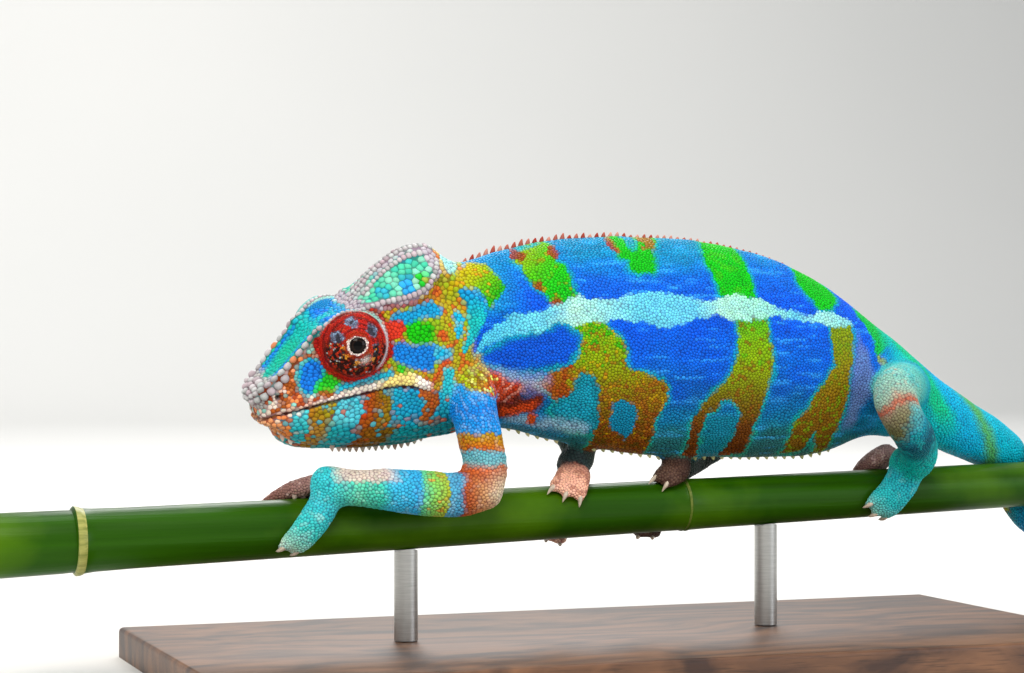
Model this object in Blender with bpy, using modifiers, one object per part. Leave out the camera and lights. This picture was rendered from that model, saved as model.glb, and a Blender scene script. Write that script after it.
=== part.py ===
"""Panther chameleon, a life-size museum model on a cut green stem, held by a plain stand.

Lengths in this script are millimetres, and MM turns them to metres when a mesh is made.
World frame: origin at the middle of the base's underside, +Z up. The animal looks along -X
and its left side faces -Y.
"""

import math

import bmesh
import bpy
import numpy as np
from mathutils import Matrix, Vector

MM = 0.001
GAP = 0.3  # clearance between neighbouring pieces
HALF_SEAM = 0.2  # of the gap between two lengths of the body or tail
LIMB_HALF_SEAM = 0.33  # of the gap between two lengths of a limb, wider as a limb bends there

# Driving sizes
BASE_SIZE = (240.0, 110.0, 8.0)
ROD_X = (-58.0, 42.0)
ROD_RADIUS = 3.0
STEM_HEIGHT = 40.0  # stem axis above the floor at x = 0
STEM_RISE = 0.0316  # slope of the stem axis along +X
STEM_RADIUS = 6.81  # at x = 0
STEM_TAPER = 0.0053  # radius lost for each millimetre along +X
STEM_ENDS = (-164.0, 162.0)
STEM_COLLAR_X = -141.0
STEM_NODE_X = 18.0
NECK = Vector((-45.0, 0.0, 84.6))  # where head and neck meet: origin of the body's own frame
HEAD_PIVOT = NECK + Vector((0.0, 0.0, -2.0))
HEAD_YAW, HEAD_ROLL = math.radians(6), math.radians(12)
HEAD_TURN = Matrix.Rotation(HEAD_YAW, 3, "Z") @ Matrix.Rotation(HEAD_ROLL, 3, "X")
EYE_BASE = Vector((-31.7, -9.4, 2.2))  # left turret, in the head's frame
EYE_LOOK = Vector((-1.9, -7.5, 1.2)).normalized()

for old in list(bpy.data.objects):
    bpy.data.objects.remove(old, do_unlink=True)

model = bpy.data.collections.new("panther_chameleon")
cutters = bpy.data.collections.new("cutters")
for collection in (model, cutters):
    bpy.context.scene.collection.children.link(collection)


# ---------------------------------------------------------------- materials

def material(name, colour, roughness, metallic=0.0):
    made = bpy.data.materials.new(name)
    made.use_nodes = True
    shader = made.node_tree.nodes["Principled BSDF"]
    shader.inputs["Base Color"].default_value = (*colour, 1.0)
    shader.inputs["Roughness"].default_value = roughness
    shader.inputs["Metallic"].default_value = metallic
    made.diffuse_color = (*colour, 1.0)
    return made


SKIN_BLUE = material("skin_blue", (0.02, 0.25, 0.75), 0.5)
SKIN_TEAL = material("skin_teal", (0.05, 0.5, 0.6), 0.5)
SKIN_ORANGE = material("skin_orange", (0.6, 0.16, 0.04), 0.5)
SKIN_PINK = material("skin_pink", (0.42, 0.22, 0.17), 0.6)
EYE_SKIN = material("eye_skin", (0.35, 0.03, 0.02), 0.4)
EYE_DARK = material("eye_dark", (0.01, 0.008, 0.006), 0.08)
STEM_GREEN = material("stem_green", (0.08, 0.22, 0.02), 0.35)
WALNUT = material("walnut", (0.12, 0.06, 0.03), 0.45)
STEEL = material("brushed_steel", (0.6, 0.6, 0.6), 0.3, 1.0)


# ---------------------------------------------------------------- helpers

def curve(knots):
    """A smooth function through (position, value...) knots that never overshoots them."""
    table = np.array(knots, float)
    at, values = table[:, 0], table[:, 1:]
    step = np.diff(at)[:, None]
    slope = np.diff(values, axis=0) / step
    tangent = np.zeros_like(values)
    tangent[0], tangent[-1] = slope[0], slope[-1]
    before, after = slope[:-1], slope[1:]
    turn = before * after > 0
    with np.errstate(divide="ignore", invalid="ignore"):
        mean = 2 * before * after / (before + after)
    tangent[1:-1] = np.where(turn, mean, 0.0)

    def value(x):
        i = int(np.clip(np.searchsorted(at, x) - 1, 0, len(at) - 2))
        t = (x - at[i]) / step[i, 0]
        h = step[i, 0]
        found = (
            (2 * t**3 - 3 * t**2 + 1) * values[i]
            + (t**3 - 2 * t**2 + t) * h * tangent[i]
            + (-2 * t**3 + 3 * t**2) * values[i + 1]
            + (t**3 - t**2) * h * tangent[i + 1]
        )
        return float(found[0]) if found.size == 1 else found

    return value


def flowing(points):
    """A Catmull-Rom path through rows of numbers, read at 0..1 of its length."""
    rows = np.array(points, float)
    length = np.linalg.norm(np.diff(rows[:, :3], axis=0), axis=1)
    at = np.concatenate([[0], np.cumsum(length)]) / length.sum()
    tangent = np.gradient(rows, at, axis=0)

    def value(u):
        i = int(np.clip(np.searchsorted(at, u) - 1, 0, len(at) - 2))
        h = at[i + 1] - at[i]
        t = (u - at[i]) / h
        return (
            (2 * t**3 - 3 * t**2 + 1) * rows[i]
            + (t**3 - 2 * t**2 + t) * h * tangent[i]
            + (-2 * t**3 + 3 * t**2) * rows[i + 1]
            + (t**3 - t**2) * h * tangent[i + 1]
        )

    value.length = length.sum()
    return value


def new_object(name, mesh, look, cutter=False):
    obj = bpy.data.objects.new(name, mesh)
    (cutters if cutter else model).objects.link(obj)
    mesh.materials.append(look)
    if cutter:
        obj.hide_render = True
        obj.display_type = "WIRE"
    return obj


def loft(name, rings, look, cutter=False):
    """One closed body through equal rings of points, with its two ends capped."""
    work = bmesh.new()
    rows = [[work.verts.new(Vector(point) * MM) for point in ring] for ring in rings]
    for near, far in zip(rows, rows[1:]):
        for i in range(len(near)):
            j = (i + 1) % len(near)
            work.faces.new((near[i], near[j], far[j], far[i]))
    for row in (rows[0], rows[-1]):
        middle = work.verts.new(sum((v.co for v in row), Vector()) / len(row))
        for i in range(len(row)):
            work.faces.new((row[i], row[(i + 1) % len(row)], middle))
    bmesh.ops.recalc_face_normals(work, faces=work.faces)
    mesh = bpy.data.meshes.new(name)
    work.to_mesh(mesh)
    work.free()
    mesh.shade_smooth()
    return new_object(name, mesh, look, cutter)


def tube_rings(path, start, end, count, around, grow=0.0):
    """Rings square to a path whose rows are x, y, z and radius, carried along it with no twist."""
    rings = []
    side = None
    for u in np.linspace(start, end, count):
        x, y, z, radius = path(u)
        ahead = Vector((path(u + 1e-3) - path(u - 1e-3))[:3]).normalized()
        if side is None:
            side = ahead.cross(Vector((0, 0, 1)) if abs(ahead.z) < 0.9 else Vector((1, 0, 0)))
        side = (side - ahead * side.dot(ahead)).normalized()
        rise = side.cross(ahead)
        reach = radius + grow
        rings.append([
            Vector((x, y, z)) + side * reach * math.cos(a) + rise * reach * math.sin(a)
            for a in np.linspace(0, 2 * math.pi, around, endpoint=False)
        ])
    return rings


def cut(target, *tools, operation="DIFFERENCE", solver="EXACT"):
    for tool in tools:
        modifier = target.modifiers.new(operation.lower(), "BOOLEAN")
        modifier.operation = operation
        modifier.solver = solver
        modifier.object = tool
    return target


def turned(name, profile, place, look, steps, cutter=False):
    """A profile of (along, radius) points turned about its own X axis."""
    work = bmesh.new()
    row = [work.verts.new(Vector((along, 0, radius)) * MM) for along, radius in profile]
    for a, b in zip(row, row[1:]):
        work.edges.new((a, b))
    mesh = bpy.data.meshes.new(name)
    work.to_mesh(mesh)
    work.free()
    obj = new_object(name, mesh, look, cutter)
    screw = obj.modifiers.new("turn", "SCREW")
    screw.axis = "X"
    screw.steps = screw.render_steps = steps
    screw.use_merge_vertices = True
    screw.merge_threshold = 0.00001
    screw.use_smooth_shade = True
    screw.use_normal_flip = True
    obj.matrix_world = place
    return obj


# ---------------------------------------------------------------- stem and stand

def stem_z(x):
    return STEM_HEIGHT + STEM_RISE * x


def stem_radius(x):
    return STEM_RADIUS - STEM_TAPER * x


def round_stem(x, angle, distance):
    """A point at an angle round the stem's axis: 0 is behind (+Y), 90 on top, 180 in front."""
    a = math.radians(angle)
    return (x, distance * math.cos(a), stem_z(x) + distance * math.sin(a))


def stem_profile(grow=0.0):
    left, right = STEM_ENDS
    collar, node = STEM_COLLAR_X, STEM_NODE_X
    swell = ((left, 0.0, 0), (left, 7.6, 1), (left + 1.2, 7.9, 1), (collar - 3, 7.7, 1), (collar - 0.6, 7.7, 1),
             (collar - 0.4, 8.6, 1), (collar + 1.4, 8.5, 1), (collar + 4, stem_radius(collar) + 0.2, 1),
             (-100, stem_radius(-100), 1), (-40, stem_radius(-40), 1), (node - 2, stem_radius(node), 1),
             (node, stem_radius(node) + 0.45, 1), (node + 1.6, stem_radius(node) + 0.1, 1),
             (80, stem_radius(80), 1), (right - 1.2, stem_radius(right), 1), (right, stem_radius(right) - 0.4, 1),
             (right, 0.0, 0))
    return [(x + (grow if i > 8 else -grow) * (x in STEM_ENDS), r + grow * outer)
            for i, (x, r, outer) in enumerate(swell)]


stem_place = Matrix.Translation(Vector((0, 0, STEM_HEIGHT)) * MM) @ Matrix.Rotation(-math.atan(STEM_RISE), 4, "Y")
turned("perch_stem", stem_profile(), stem_place, STEM_GREEN, 20)
stem_cutter = turned("stem_cutter", stem_profile(GAP), stem_place, STEM_GREEN, 20, cutter=True)

bpy.ops.mesh.primitive_cube_add(size=1, location=(0, 0, BASE_SIZE[2] / 2 * MM))
base = bpy.context.object
base.name = base.data.name = "stand_base"
base.scale = Vector(BASE_SIZE) * MM
bpy.ops.object.transform_apply(location=False, rotation=False, scale=True)
base.data.materials.append(WALNUT)
for edge_name, width, segments, upright in (("corners", 10.0, 4, True), ("top_edge", 1.2, 1, False)):
    bevel = base.modifiers.new(edge_name, "BEVEL")
    bevel.width = width * MM
    bevel.segments = segments
    bevel.limit_method = "WEIGHT" if upright else "ANGLE"
    bevel.angle_limit = math.radians(60)
weights = base.data.attributes.new("bevel_weight_edge", "FLOAT", "EDGE")
for edge in base.data.edges:
    a, b = (base.data.vertices[i].co for i in edge.vertices)
    weights.data[edge.index].value = 1.0 if abs(a.z - b.z) > MM else 0.0
for owner in list(base.users_collection):
    owner.objects.unlink(base)
model.objects.link(base)

for rod_name, rod_x in zip(("stand_rod_front", "stand_rod_rear"), ROD_X):
    rod_top = stem_z(rod_x)
    bottom = BASE_SIZE[2] + GAP
    bpy.ops.mesh.primitive_cylinder_add(
        vertices=16, radius=ROD_RADIUS * MM, depth=(rod_top - bottom) * MM,
        location=Vector((rod_x, 0, (rod_top + bottom) / 2)) * MM)
    rod = bpy.context.object
    rod.name = rod.data.name = rod_name
    rod.data.materials.append(STEEL)
    cut(rod, stem_cutter)
    for owner in list(rod.users_collection):
        owner.objects.unlink(rod)
    model.objects.link(rod)


# ---------------------------------------------------------------- head

# Each knot is (position along the head, value); the snout points to -X.
HEAD_TOP = curve([(-56.6, -12.2), (-55.5, -10.6), (-53.5, -9.4), (-50, -7.4), (-46.5, -3.4), (-42, 2.0), (-38, 6.2),
                  (-34, 8.0), (-31, 9.8), (-28.4, 13.4), (-24.8, 18.7), (-20.6, 22.6), (-16.8, 24.8),
                  (-12.9, 25.8), (-9.3, 25.2), (-6.6, 23.2), (-3.3, 21.5), (0, 21.0)])
CREST_Z = curve([(-56.6, -12.4), (-55.5, -11.2), (-53.5, -9.4), (-51.5, -7.6), (-48, -3.8), (-44, 1.4), (-40, 6.8),
                 (-37.5, 8.8), (-34, 10.2), (-30, 11.2), (-24, 12.9), (-17.5, 14.3), (-13, 16.4), (-10.6, 19.6),
                 (-8.0, 20.4), (-4, 16.5), (0, 14.0)])
CREST_Y = curve([(-56.6, 1.8), (-55.5, 4.2), (-53.5, 5.8), (-50, 6.7), (-42, 7.8), (-36, 8.9), (-30, 9.6),
                 (-20, 9.9), (-13, 9.2), (-10.6, 7.6), (-8, 6.6), (-4, 7.4), (0, 8.6)])
CHEEK_Y = curve([(-56.6, 1.8), (-55.5, 3.8), (-53.5, 5.0), (-50, 6.5), (-45, 7.9), (-38, 9.0), (-28, 10.2),
                 (-18, 11.5), (-8, 12.0), (0, 11.9)])
LIP_Y = curve([(-56.6, 1.2), (-55.5, 2.6), (-53.5, 4.0), (-51, 6.2), (-46, 8.9), (-40, 10.7), (-32, 12.0),
               (-22, 12.9), (-14, 13.2), (-8, 12.8), (0, 11.8)])
MOUTH_Z = curve([(-62, -19.5), (-53, -18.0), (-50, -16.3), (-46, -14.9), (-39.4, -12.5), (-29, -9.6), (-22, -7.9),
                 (-17, -7.8), (-11, -9.0), (0, -9.5)])
CHIN_Z = curve([(-56.6, -13.2), (-55.5, -14.4), (-53.9, -15.2), (-53.1, -17.2), (-52.2, -19.6), (-50.6, -21.4),
                (-48, -23.1), (-44, -24.2), (-36, -25.1), (-26, -25.2), (-16, -24.7), (-8, -23.8), (0, -22.6)])


def head_half_ring(x):
    """The left half of a section as (half-width, height) points, from the crown to the chin."""
    top, chin = HEAD_TOP(x), CHIN_Z(x)
    crest_y, crest_z = CREST_Y(x), CREST_Z(x)
    lip_z = max(MOUTH_Z(x), chin + 0.25 * (crest_z - chin))
    lip_y, cheek_y = LIP_Y(x), CHEEK_Y(x)
    brow = crest_z - 0.14 * (crest_z - lip_z)
    outline = [
        (0.0, top),
        (0.52 * crest_y, 0.62 * top + 0.38 * crest_z - 0.4),
        (crest_y, crest_z),
        (0.93 * crest_y, brow),
        (0.45 * crest_y + 0.55 * cheek_y, crest_z - 0.38 * (crest_z - lip_z)),
        (cheek_y, crest_z - 0.68 * (crest_z - lip_z)),
        (lip_y, lip_z + 0.08 * (crest_z - lip_z)),
        (0.985 * lip_y, lip_z - 0.22 * (lip_z - chin)),
        (0.84 * lip_y, lip_z - 0.62 * (lip_z - chin)),
        (0.45 * lip_y, lip_z - 0.92 * (lip_z - chin)),
        (0.0, chin),
    ]
    fine = []
    padded = [(-outline[1][0], outline[1][1])] + outline + [(-outline[-2][0], outline[-2][1])]
    for a, b, c, d in zip(padded, padded[1:], padded[2:], padded[3:]):
        fine.append(b)
        fine.append(tuple((9 * (q + r) - (p + s)) / 16 for p, q, r, s in zip(a, b, c, d)))
    fine[-1] = outline[-1]
    return fine


def in_head(point):
    return HEAD_PIVOT + HEAD_TURN @ Vector(point)


def head_ring(x, grow=0.0):
    half = head_half_ring(x)
    left = [(x, -y, z) for y, z in half]
    right = [(x, y, z) for y, z in half[-2:0:-1]]
    middle = Vector((x, 0, (half[0][1] + half[-1][1]) / 2))
    ring = []
    for point in left + right:
        away = Vector(point) - middle
        ring.append(in_head(middle + away * (1 + grow / max(away.length, 0.5))))
    return ring


HEAD_BACK = -0.15
head_stations = [-56.6, -56.0, -55.0, -53.7, -53.0, -52.2, -50.8, -48.6, -46, -43, -40, -37, -34, -31, -28, -25,
                 -21.5, -18, -15, -12.6, -10.8, -9, -7, -4.5, -2.4, HEAD_BACK]
head = loft("head", [head_ring(x) for x in head_stations], SKIN_TEAL)
jaw = loft("lower_jaw", [head_ring(x) for x in head_stations], SKIN_ORANGE)
head_cutter = loft("head_cutter", [head_ring(x, GAP + 0.1) for x in head_stations[1:-1]]
                   + [head_ring(HEAD_BACK + GAP, GAP + 0.1)], SKIN_TEAL, cutter=True)


def below_mouth(name, lift, back):
    """A wide block whose upper side is the mouth line, and whose rear side stands behind its corner."""
    line = [(x, MOUTH_Z(x) + lift) for x in (-62, -53, -50, -46, -39.4, -32, -24, -17, -11)]
    outline = [(-62.0, -34.0)] + line + [(back - 1.0, MOUTH_Z(-11) + lift - 1.0), (back, -14.0), (back, -34.0)]
    rings = [[in_head((x, side, z)) for x, z in outline] for side in (-25.0, 25.0)]
    return loft(name, rings, SKIN_TEAL, cutter=True)


cut(head, below_mouth("mouth_cutter", GAP / 2, -7.0 + GAP / 2))
cut(jaw, below_mouth("jaw_former", -GAP / 2, -7.0 - GAP / 2), operation="INTERSECT")

# Eye turrets: a scaled cone of skin with a dished opening, in which the eyeball sits.
EYE_OPENING = 2.2


def turret_profile(grow=0.0):
    skin = [(-5.0 - grow, 0.0), (-5.0 - grow, 6.8 + grow), (0.2, 8.7 + grow), (2.4, 8.2 + grow),
            (4.4, 7.0 + grow), (6.3, 5.0 + grow), (7.7, 3.0 + grow)]
    if grow:
        return skin + [(8.2 + grow, 0.0)]
    return skin + [(7.8, EYE_OPENING), (6.7, EYE_OPENING - 0.2), (6.5, 0.0)]


EYEBALL_PROFILE = [(6.8, 0.0), (6.85, EYE_OPENING - 0.5), (7.4, EYE_OPENING - 0.4), (7.9, 1.0), (8.1, 0.0)]


def eye_place(side):
    look = Vector((EYE_LOOK.x, side * EYE_LOOK.y, EYE_LOOK.z))
    centre = in_head((EYE_BASE.x, side * EYE_BASE.y, EYE_BASE.z))
    turn = (HEAD_TURN @ look).to_track_quat("X", "Z").to_matrix().to_4x4()
    return Matrix.Translation(centre * MM) @ turn


for side_name, side in (("left", 1), ("right", -1)):
    place = eye_place(side)
    turned(f"eye_turret_{side_name}", turret_profile(), place, EYE_SKIN, 20)
    turned(f"eyeball_{side_name}", EYEBALL_PROFILE, place, EYE_DARK, 12)
    cut(head, turned(f"socket_cutter_{side_name}", turret_profile(GAP), place, EYE_SKIN, 20, cutter=True))


# ---------------------------------------------------------------- neck, trunk, pelvis and tail base

# Sections in the body's own frame: the point on the back, the point on the belly, half-width, yaw.
neck_back = HEAD_TURN @ Vector((0, 0, 21.4)) + Vector((0, 0, -2.0))
neck_throat = HEAD_TURN @ Vector((0, 0, -22.8)) + Vector((0, 0, -2.0))
BODY_SECTIONS = [
    (*neck_back, *neck_throat, 12.0, HEAD_YAW),
    (6.0, -2.6, 20.3, 6.3, 2.6, -23.4, 12.2, HEAD_YAW / 2),
    (14.0, -0.8, 22.8, 14.0, 0.8, -23.6, 13.2, 0.0),
    (24.0, 0.0, 24.8, 24.0, 0.0, -26.2, 14.6, 0.0),
    (42.0, 0.0, 26.0, 42.0, 0.0, -29.5, 15.8, 0.0),
    (60.0, 0.0, 25.7, 60.0, 0.0, -31.6, 16.0, 0.0),
    (78.0, 0.0, 23.5, 78.0, 0.0, -32.1, 15.2, 0.0),
    (93.5, 0.0, 19.0, 93.0, 0.0, -32.0, 13.8, 0.0),
    (106.5, 0.0, 12.2, 103.0, 0.0, -31.2, 12.2, 0.0),
    (118.0, 0.0, 4.2, 110.5, 0.0, -28.6, 10.8, 0.0),
    (128.0, 0.0, -3.2, 117.5, 0.0, -26.5, 9.6, 0.0),
    (136.0, 0.2, -9.4, 125.5, 0.2, -26.8, 8.6, 0.05),
    (144.0, 1.0, -14.7, 135.0, 1.0, -29.2, 7.7, 0.16),
    (153.0, 3.2, -19.2, 145.2, 3.2, -32.4, 7.0, 0.3),
    (161.5, 6.8, -23.2, 155.0, 6.8, -35.6, 6.4, 0.4),
    (169.3, 9.9, -27.6, 162.1, 9.9, -37.8, 6.1, 0.46),
]
body_at = curve([(i, *row) for i, row in enumerate(BODY_SECTIONS)])
BACK_KEEL, BELLY_KEEL = 1.35, 1.1  # above 1 a section narrows to a keel there


def body_ring(station, around=24, grow=0.0):
    values = body_at(station)
    back, belly = Vector(values[0:3]), Vector(values[3:6])
    width, yaw = values[6], values[7]
    middle = (back + belly) / 2
    rise = (back - belly).normalized()
    height = (back - belly).length / 2
    side = Vector((-math.sin(yaw), math.cos(yaw), 0))
    side = (side - rise * side.dot(rise)).normalized()
    roundness = float(np.clip((station - 9.0) / 3.0, 0, 1))  # keeled trunk, round tail
    ring = []
    for a in np.linspace(0, 2 * math.pi, around, endpoint=False):
        keel = BACK_KEEL if math.cos(a) > 0 else BELLY_KEEL
        keel += (1.0 - keel) * roundness
        across = math.copysign(abs(math.sin(a)) ** keel, math.sin(a))
        ring.append(NECK + middle + rise * (height + grow) * math.cos(a) + side * (width + grow) * across)
    return ring


def station_step(station, distance):
    """How far the station number moves for a distance along the body's middle."""
    low, high = body_at(station - 0.01), body_at(station + 0.01)
    travel = Vector((high[0:3] + high[3:6] - low[0:3] - low[3:6]) / 2).length
    return distance * 0.02 / travel


def body_piece(name, start, end, count, look):
    start += station_step(start, HALF_SEAM)
    end -= station_step(end, HALF_SEAM)
    return loft(name, [body_ring(s) for s in np.linspace(start, end, count)], look)


NECK_END, TRUNK_END, PELVIS_END, TAIL_BASE_END = 1.85, 9.0, 11.3, 15.0
body_piece("neck", 0.0, NECK_END, 5, SKIN_TEAL)
body_piece("trunk", NECK_END, TRUNK_END, 14, SKIN_BLUE)
body_piece("pelvis", TRUNK_END, PELVIS_END, 6, SKIN_TEAL)
body_piece("tail_base", PELVIS_END, TAIL_BASE_END, 8, SKIN_TEAL)
body_cutter = loft("body_cutter", [body_ring(s, 24, GAP) for s in np.linspace(0.02, TAIL_BASE_END - 1, 34)],
                   SKIN_BLUE, cutter=True)


# ---------------------------------------------------------------- tail wound round the stem

TAIL_START_ANGLE, TAIL_TURNS = 33.0, 2.45
TAIL_START_X = 123.3
TAIL_CLEARANCE = 0.45  # between the tail's skin and the stem
tail_radius = curve([(0, 6.1), (0.25, 5.4), (0.6, 4.7), (1.0, 3.9), (1.5, 3.1), (2.0, 2.1), (2.45, 1.0)])


def tail_point(turns):
    x = TAIL_START_X + 24.0 * (1 - math.exp(-turns / 1.2)) + 3.0 * turns
    radius = tail_radius(turns)
    distance = stem_radius(x) + radius + TAIL_CLEARANCE
    return (*round_stem(x, TAIL_START_ANGLE - 360 * turns, distance), radius)


end_values = body_at(TAIL_BASE_END)
tail_root = NECK + Vector((end_values[0:3] + end_values[3:6]) / 2)
before_values = body_at(TAIL_BASE_END - 0.35)
tail_lead = NECK + Vector((before_values[0:3] + before_values[3:6]) / 2)
tail_path = flowing(
    [(*tail_lead, 6.6), (*tail_root, 6.25)] + [tail_point(t) for t in np.arange(0.04, TAIL_TURNS + 0.01, 0.06)])
tail_first = (tail_root - tail_lead).length / tail_path.length
TAIL_CUTS = (tail_first, 0.30, 0.52, 0.76, 1.0)
TAIL_NAMES = ("tail_coil_1", "tail_coil_2", "tail_coil_3", "tail_tip")
for i, tail_name in enumerate(TAIL_NAMES):
    share_gap = HALF_SEAM / tail_path.length
    first = TAIL_CUTS[i] + share_gap
    last = TAIL_CUTS[i + 1] - (share_gap if i < 3 else 0.002)
    rings = tube_rings(tail_path, first, last, 10, 11 - 2 * (i > 2))
    loft(tail_name, rings, SKIN_TEAL)


# ---------------------------------------------------------------- limbs

def body_to_world(rows):
    return [(x + NECK.x, y + NECK.y, z + NECK.z, r) for x, y, z, r in rows]


def limb(upper_name, lower_name, foot_name, rows, bend, wrist, look, around=12):
    """Upper and lower limb and the foot's palm, as lengths of one path, clear of the body and stem.

    Returns the cutter that keeps the toes clear of the palm."""
    path = flowing(body_to_world(rows))
    share_gap = LIMB_HALF_SEAM / path.length
    for piece_name, start, end, count in (
            (upper_name, 0.0, bend - share_gap, 6), (lower_name, bend + share_gap, wrist - share_gap, 8),
            (foot_name, wrist + share_gap, 1.0, 4)):
        rings = tube_rings(path, start, end, count, around)
        last = Vector(path(end)[:3]) + Vector((path(end) - path(end - 0.01))[:3]).normalized() * 0.9
        if piece_name == foot_name:
            rings.append([last + (p - Vector(path(end)[:3])) * 0.55 for p in rings[-1]])
        piece = loft(piece_name, rings, look)
        cut(piece, stem_cutter, body_cutter)
        if piece_name == upper_name:
            cut(piece, head_cutter)
            crook_cutter = loft(upper_name + "_cutter", tube_rings(path, start, end, count, around, grow=GAP),
                                look, cutter=True)
        if piece_name == lower_name:
            cut(piece, crook_cutter, solver="MANIFOLD")  # EXACT loses the piece where its bend is tight
    foot_rings = tube_rings(path, wrist + share_gap, 1.0, 4, around, grow=GAP)
    foot_rings.append([last + (p - Vector(path(1.0)[:3])) * 0.62 for p in foot_rings[-1]])
    foot_cutter = loft(foot_name + "_cutter", foot_rings, look, cutter=True)
    return foot_cutter


TOE_ROOT, TOE_END = 3.0, 1.9  # radius of one toe where the bundle starts, and before its claw
TOE_SPREAD = 2.2  # between the middles of two fused toes
CLAW_LENGTH = 1.1
PALM_LIFT = 2.6  # how far a bundle of toes rises from the stem where it leaves the palm


def toes(name, start, end, count, foot_cutter, look):
    """A bundle of toes fused but for their ends, laid round the stem from (x, angle) to (x, angle)."""
    x0, a0 = start
    x1, a1 = end
    root = TOE_ROOT if count == 2 else TOE_ROOT - 0.4
    reach = stem_radius(x1) + 0.75 * root
    arc = math.radians(a1 - a0) * reach
    length = math.hypot(x1 - x0, arc)
    across_x, across_arc = -arc / length, (x1 - x0) / length
    bundle = None
    for k in range(count):
        offset = k - (count - 1) / 2
        shorter = 0.07 * abs(offset) if count == 3 else 0.06 * (k == 0)
        rows = []
        for t in np.linspace(0, 1, 8):
            s = t * (1 - shorter)
            ending = max(0, t - 0.6) / 0.4
            spread = offset * (TOE_SPREAD * (0.7 + 0.3 * min(1, t / 0.25)) + 1.2 * ending)
            x = x0 + (x1 - x0) * s + across_x * spread
            angle = a0 + math.degrees((arc * s + across_arc * spread) / reach)
            radius = root + (TOE_END - root) * (0.35 * t + 0.65 * ending)
            lift = PALM_LIFT * math.exp(-t * 5) - 0.75 * (root - radius)
            rows.append((*round_stem(x, angle, reach + lift), radius * (0.8 + 0.2 * min(1, t / 0.2))))
        direction = (Vector(rows[-1][:3]) - Vector(rows[-2][:3])).normalized()
        tip = Vector(rows[-1][:3])
        inward = Vector((0, -tip.y, stem_z(tip.x) - tip.z)).normalized()
        for step, radius, dip in ((0.9, 1.15, 0.0), (1.5, 0.75, 0.1), (1.5 + CLAW_LENGTH, 0.3, 0.45)):
            rows.append((*(tip + direction * step + inward * dip), radius))
        toe = loft(f"{name}_toe_{k}" if k else name, tube_rings(flowing(rows), 0.0, 1.0, 9, 7), look, cutter=bool(k))
        if k:
            cut(bundle, toe, operation="UNION", solver="MANIFOLD")
        else:
            bundle = toe
    cut(bundle, stem_cutter, foot_cutter, solver="MANIFOLD")  # EXACT leaves slivers where toes touch
    return bundle


hand_left = limb(
    "upper_arm_left", "forearm_left", "hand_left",
    [(2.5, -5.5, -10.0, 6.2), (1.0, -11.0, -16.5, 5.9), (1.4, -15.0, -25.0, 5.5), (2.2, -17.4, -32.2, 5.5),
     (1.2, -17.9, -37.2, 6.0), (-5.0, -17.2, -38.9, 5.5), (-14.0, -15.4, -38.3, 5.6), (-23.0, -13.4, -37.3, 5.1),
     (-30.2, -11.2, -37.0, 4.5), (-34.0, -8.6, -36.7, 4.9), (-36.6, -5.0, -36.1, 4.6)],
    0.36, 0.83, SKIN_BLUE)
toes("toes_outer_hand_left", (-79.8, 130), (-89.8, 207), 2, hand_left, SKIN_TEAL)
toes("toes_inner_hand_left", (-80.5, 100), (-91.5, 10), 3, hand_left, SKIN_PINK)

hand_right = limb(
    "upper_arm_right", "forearm_right", "hand_right",
    [(6.5, 5.5, -10.0, 5.4), (8.6, 13.5, -10.0, 5.8), (13.0, 22.0, -8.8, 5.4), (19.0, 28.4, -9.6, 5.3),
     (26.2, 27.8, -13.8, 5.2), (32.4, 21.4, -19.2, 4.9), (36.4, 14.0, -24.8, 4.5), (37.2, 8.6, -29.8, 4.3),
     (34.6, 4.8, -32.8, 4.5), (32.0, 2.2, -33.9, 4.1)],
    0.36, 0.86, SKIN_ORANGE)
toes("toes_outer_hand_right", (-10.2, 62), (-16.6, -58), 2, hand_right, SKIN_PINK)
toes("toes_inner_hand_right", (-12.8, 94), (-17.0, 138), 3, hand_right, SKIN_PINK)

foot_left = limb(
    "thigh_left", "shin_left", "foot_left",
    [(127.0, -3.0, -13.4, 6.6), (122.6, -10.0, -13.6, 6.8), (117.2, -17.4, -13.8, 6.3), (112.8, -23.2, -16.2, 5.6),
     (114.2, -25.0, -21.2, 5.3), (119.4, -21.4, -25.6, 5.3), (124.2, -15.8, -30.0, 4.9), (126.4, -11.8, -33.2, 4.6),
     (125.6, -8.2, -34.0, 4.7), (124.2, -4.8, -33.2, 4.3)],
    0.36, 0.82, SKIN_TEAL)
toes("toes_outer_foot_left", (81.0, 136), (71.8, 211), 3, foot_left, SKIN_TEAL)
toes("toes_inner_foot_left", (79.0, 92), (73.0, -2), 2, foot_left, SKIN_PINK)

foot_right = limb(
    "thigh_right", "shin_right", "foot_right",
    [(126.0, 2.5, -13.6, 6.6), (118.5, 10.0, -14.0, 6.8), (107.0, 17.0, -16.0, 6.5), (97.5, 20.6, -19.0, 6.0),
     (88.5, 18.8, -23.4, 5.5), (79.0, 14.8, -28.4, 4.9), (71.0, 10.4, -32.2, 4.2), (66.6, 7.0, -33.6, 4.1),
     (63.8, 4.2, -34.0, 3.7)],
    0.46, 0.86, SKIN_TEAL)
toes("toes_outer_foot_right", (19.6, 58), (7.6, -58), 3, foot_right, SKIN_PINK)
toes("toes_inner_foot_right", (16.6, 98), (10.6, 120), 2, foot_right, SKIN_PINK)
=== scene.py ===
"""Panther chameleon on a cut green stem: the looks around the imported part.

Lengths are in millimetres, and MM turns them to metres where they meet a mesh. The room is in metres.
"""
import math

import bmesh
import bpy
import numpy as np
from mathutils import Matrix, Vector
from mathutils.bvhtree import BVHTree
from mathutils.kdtree import KDTree


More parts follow.
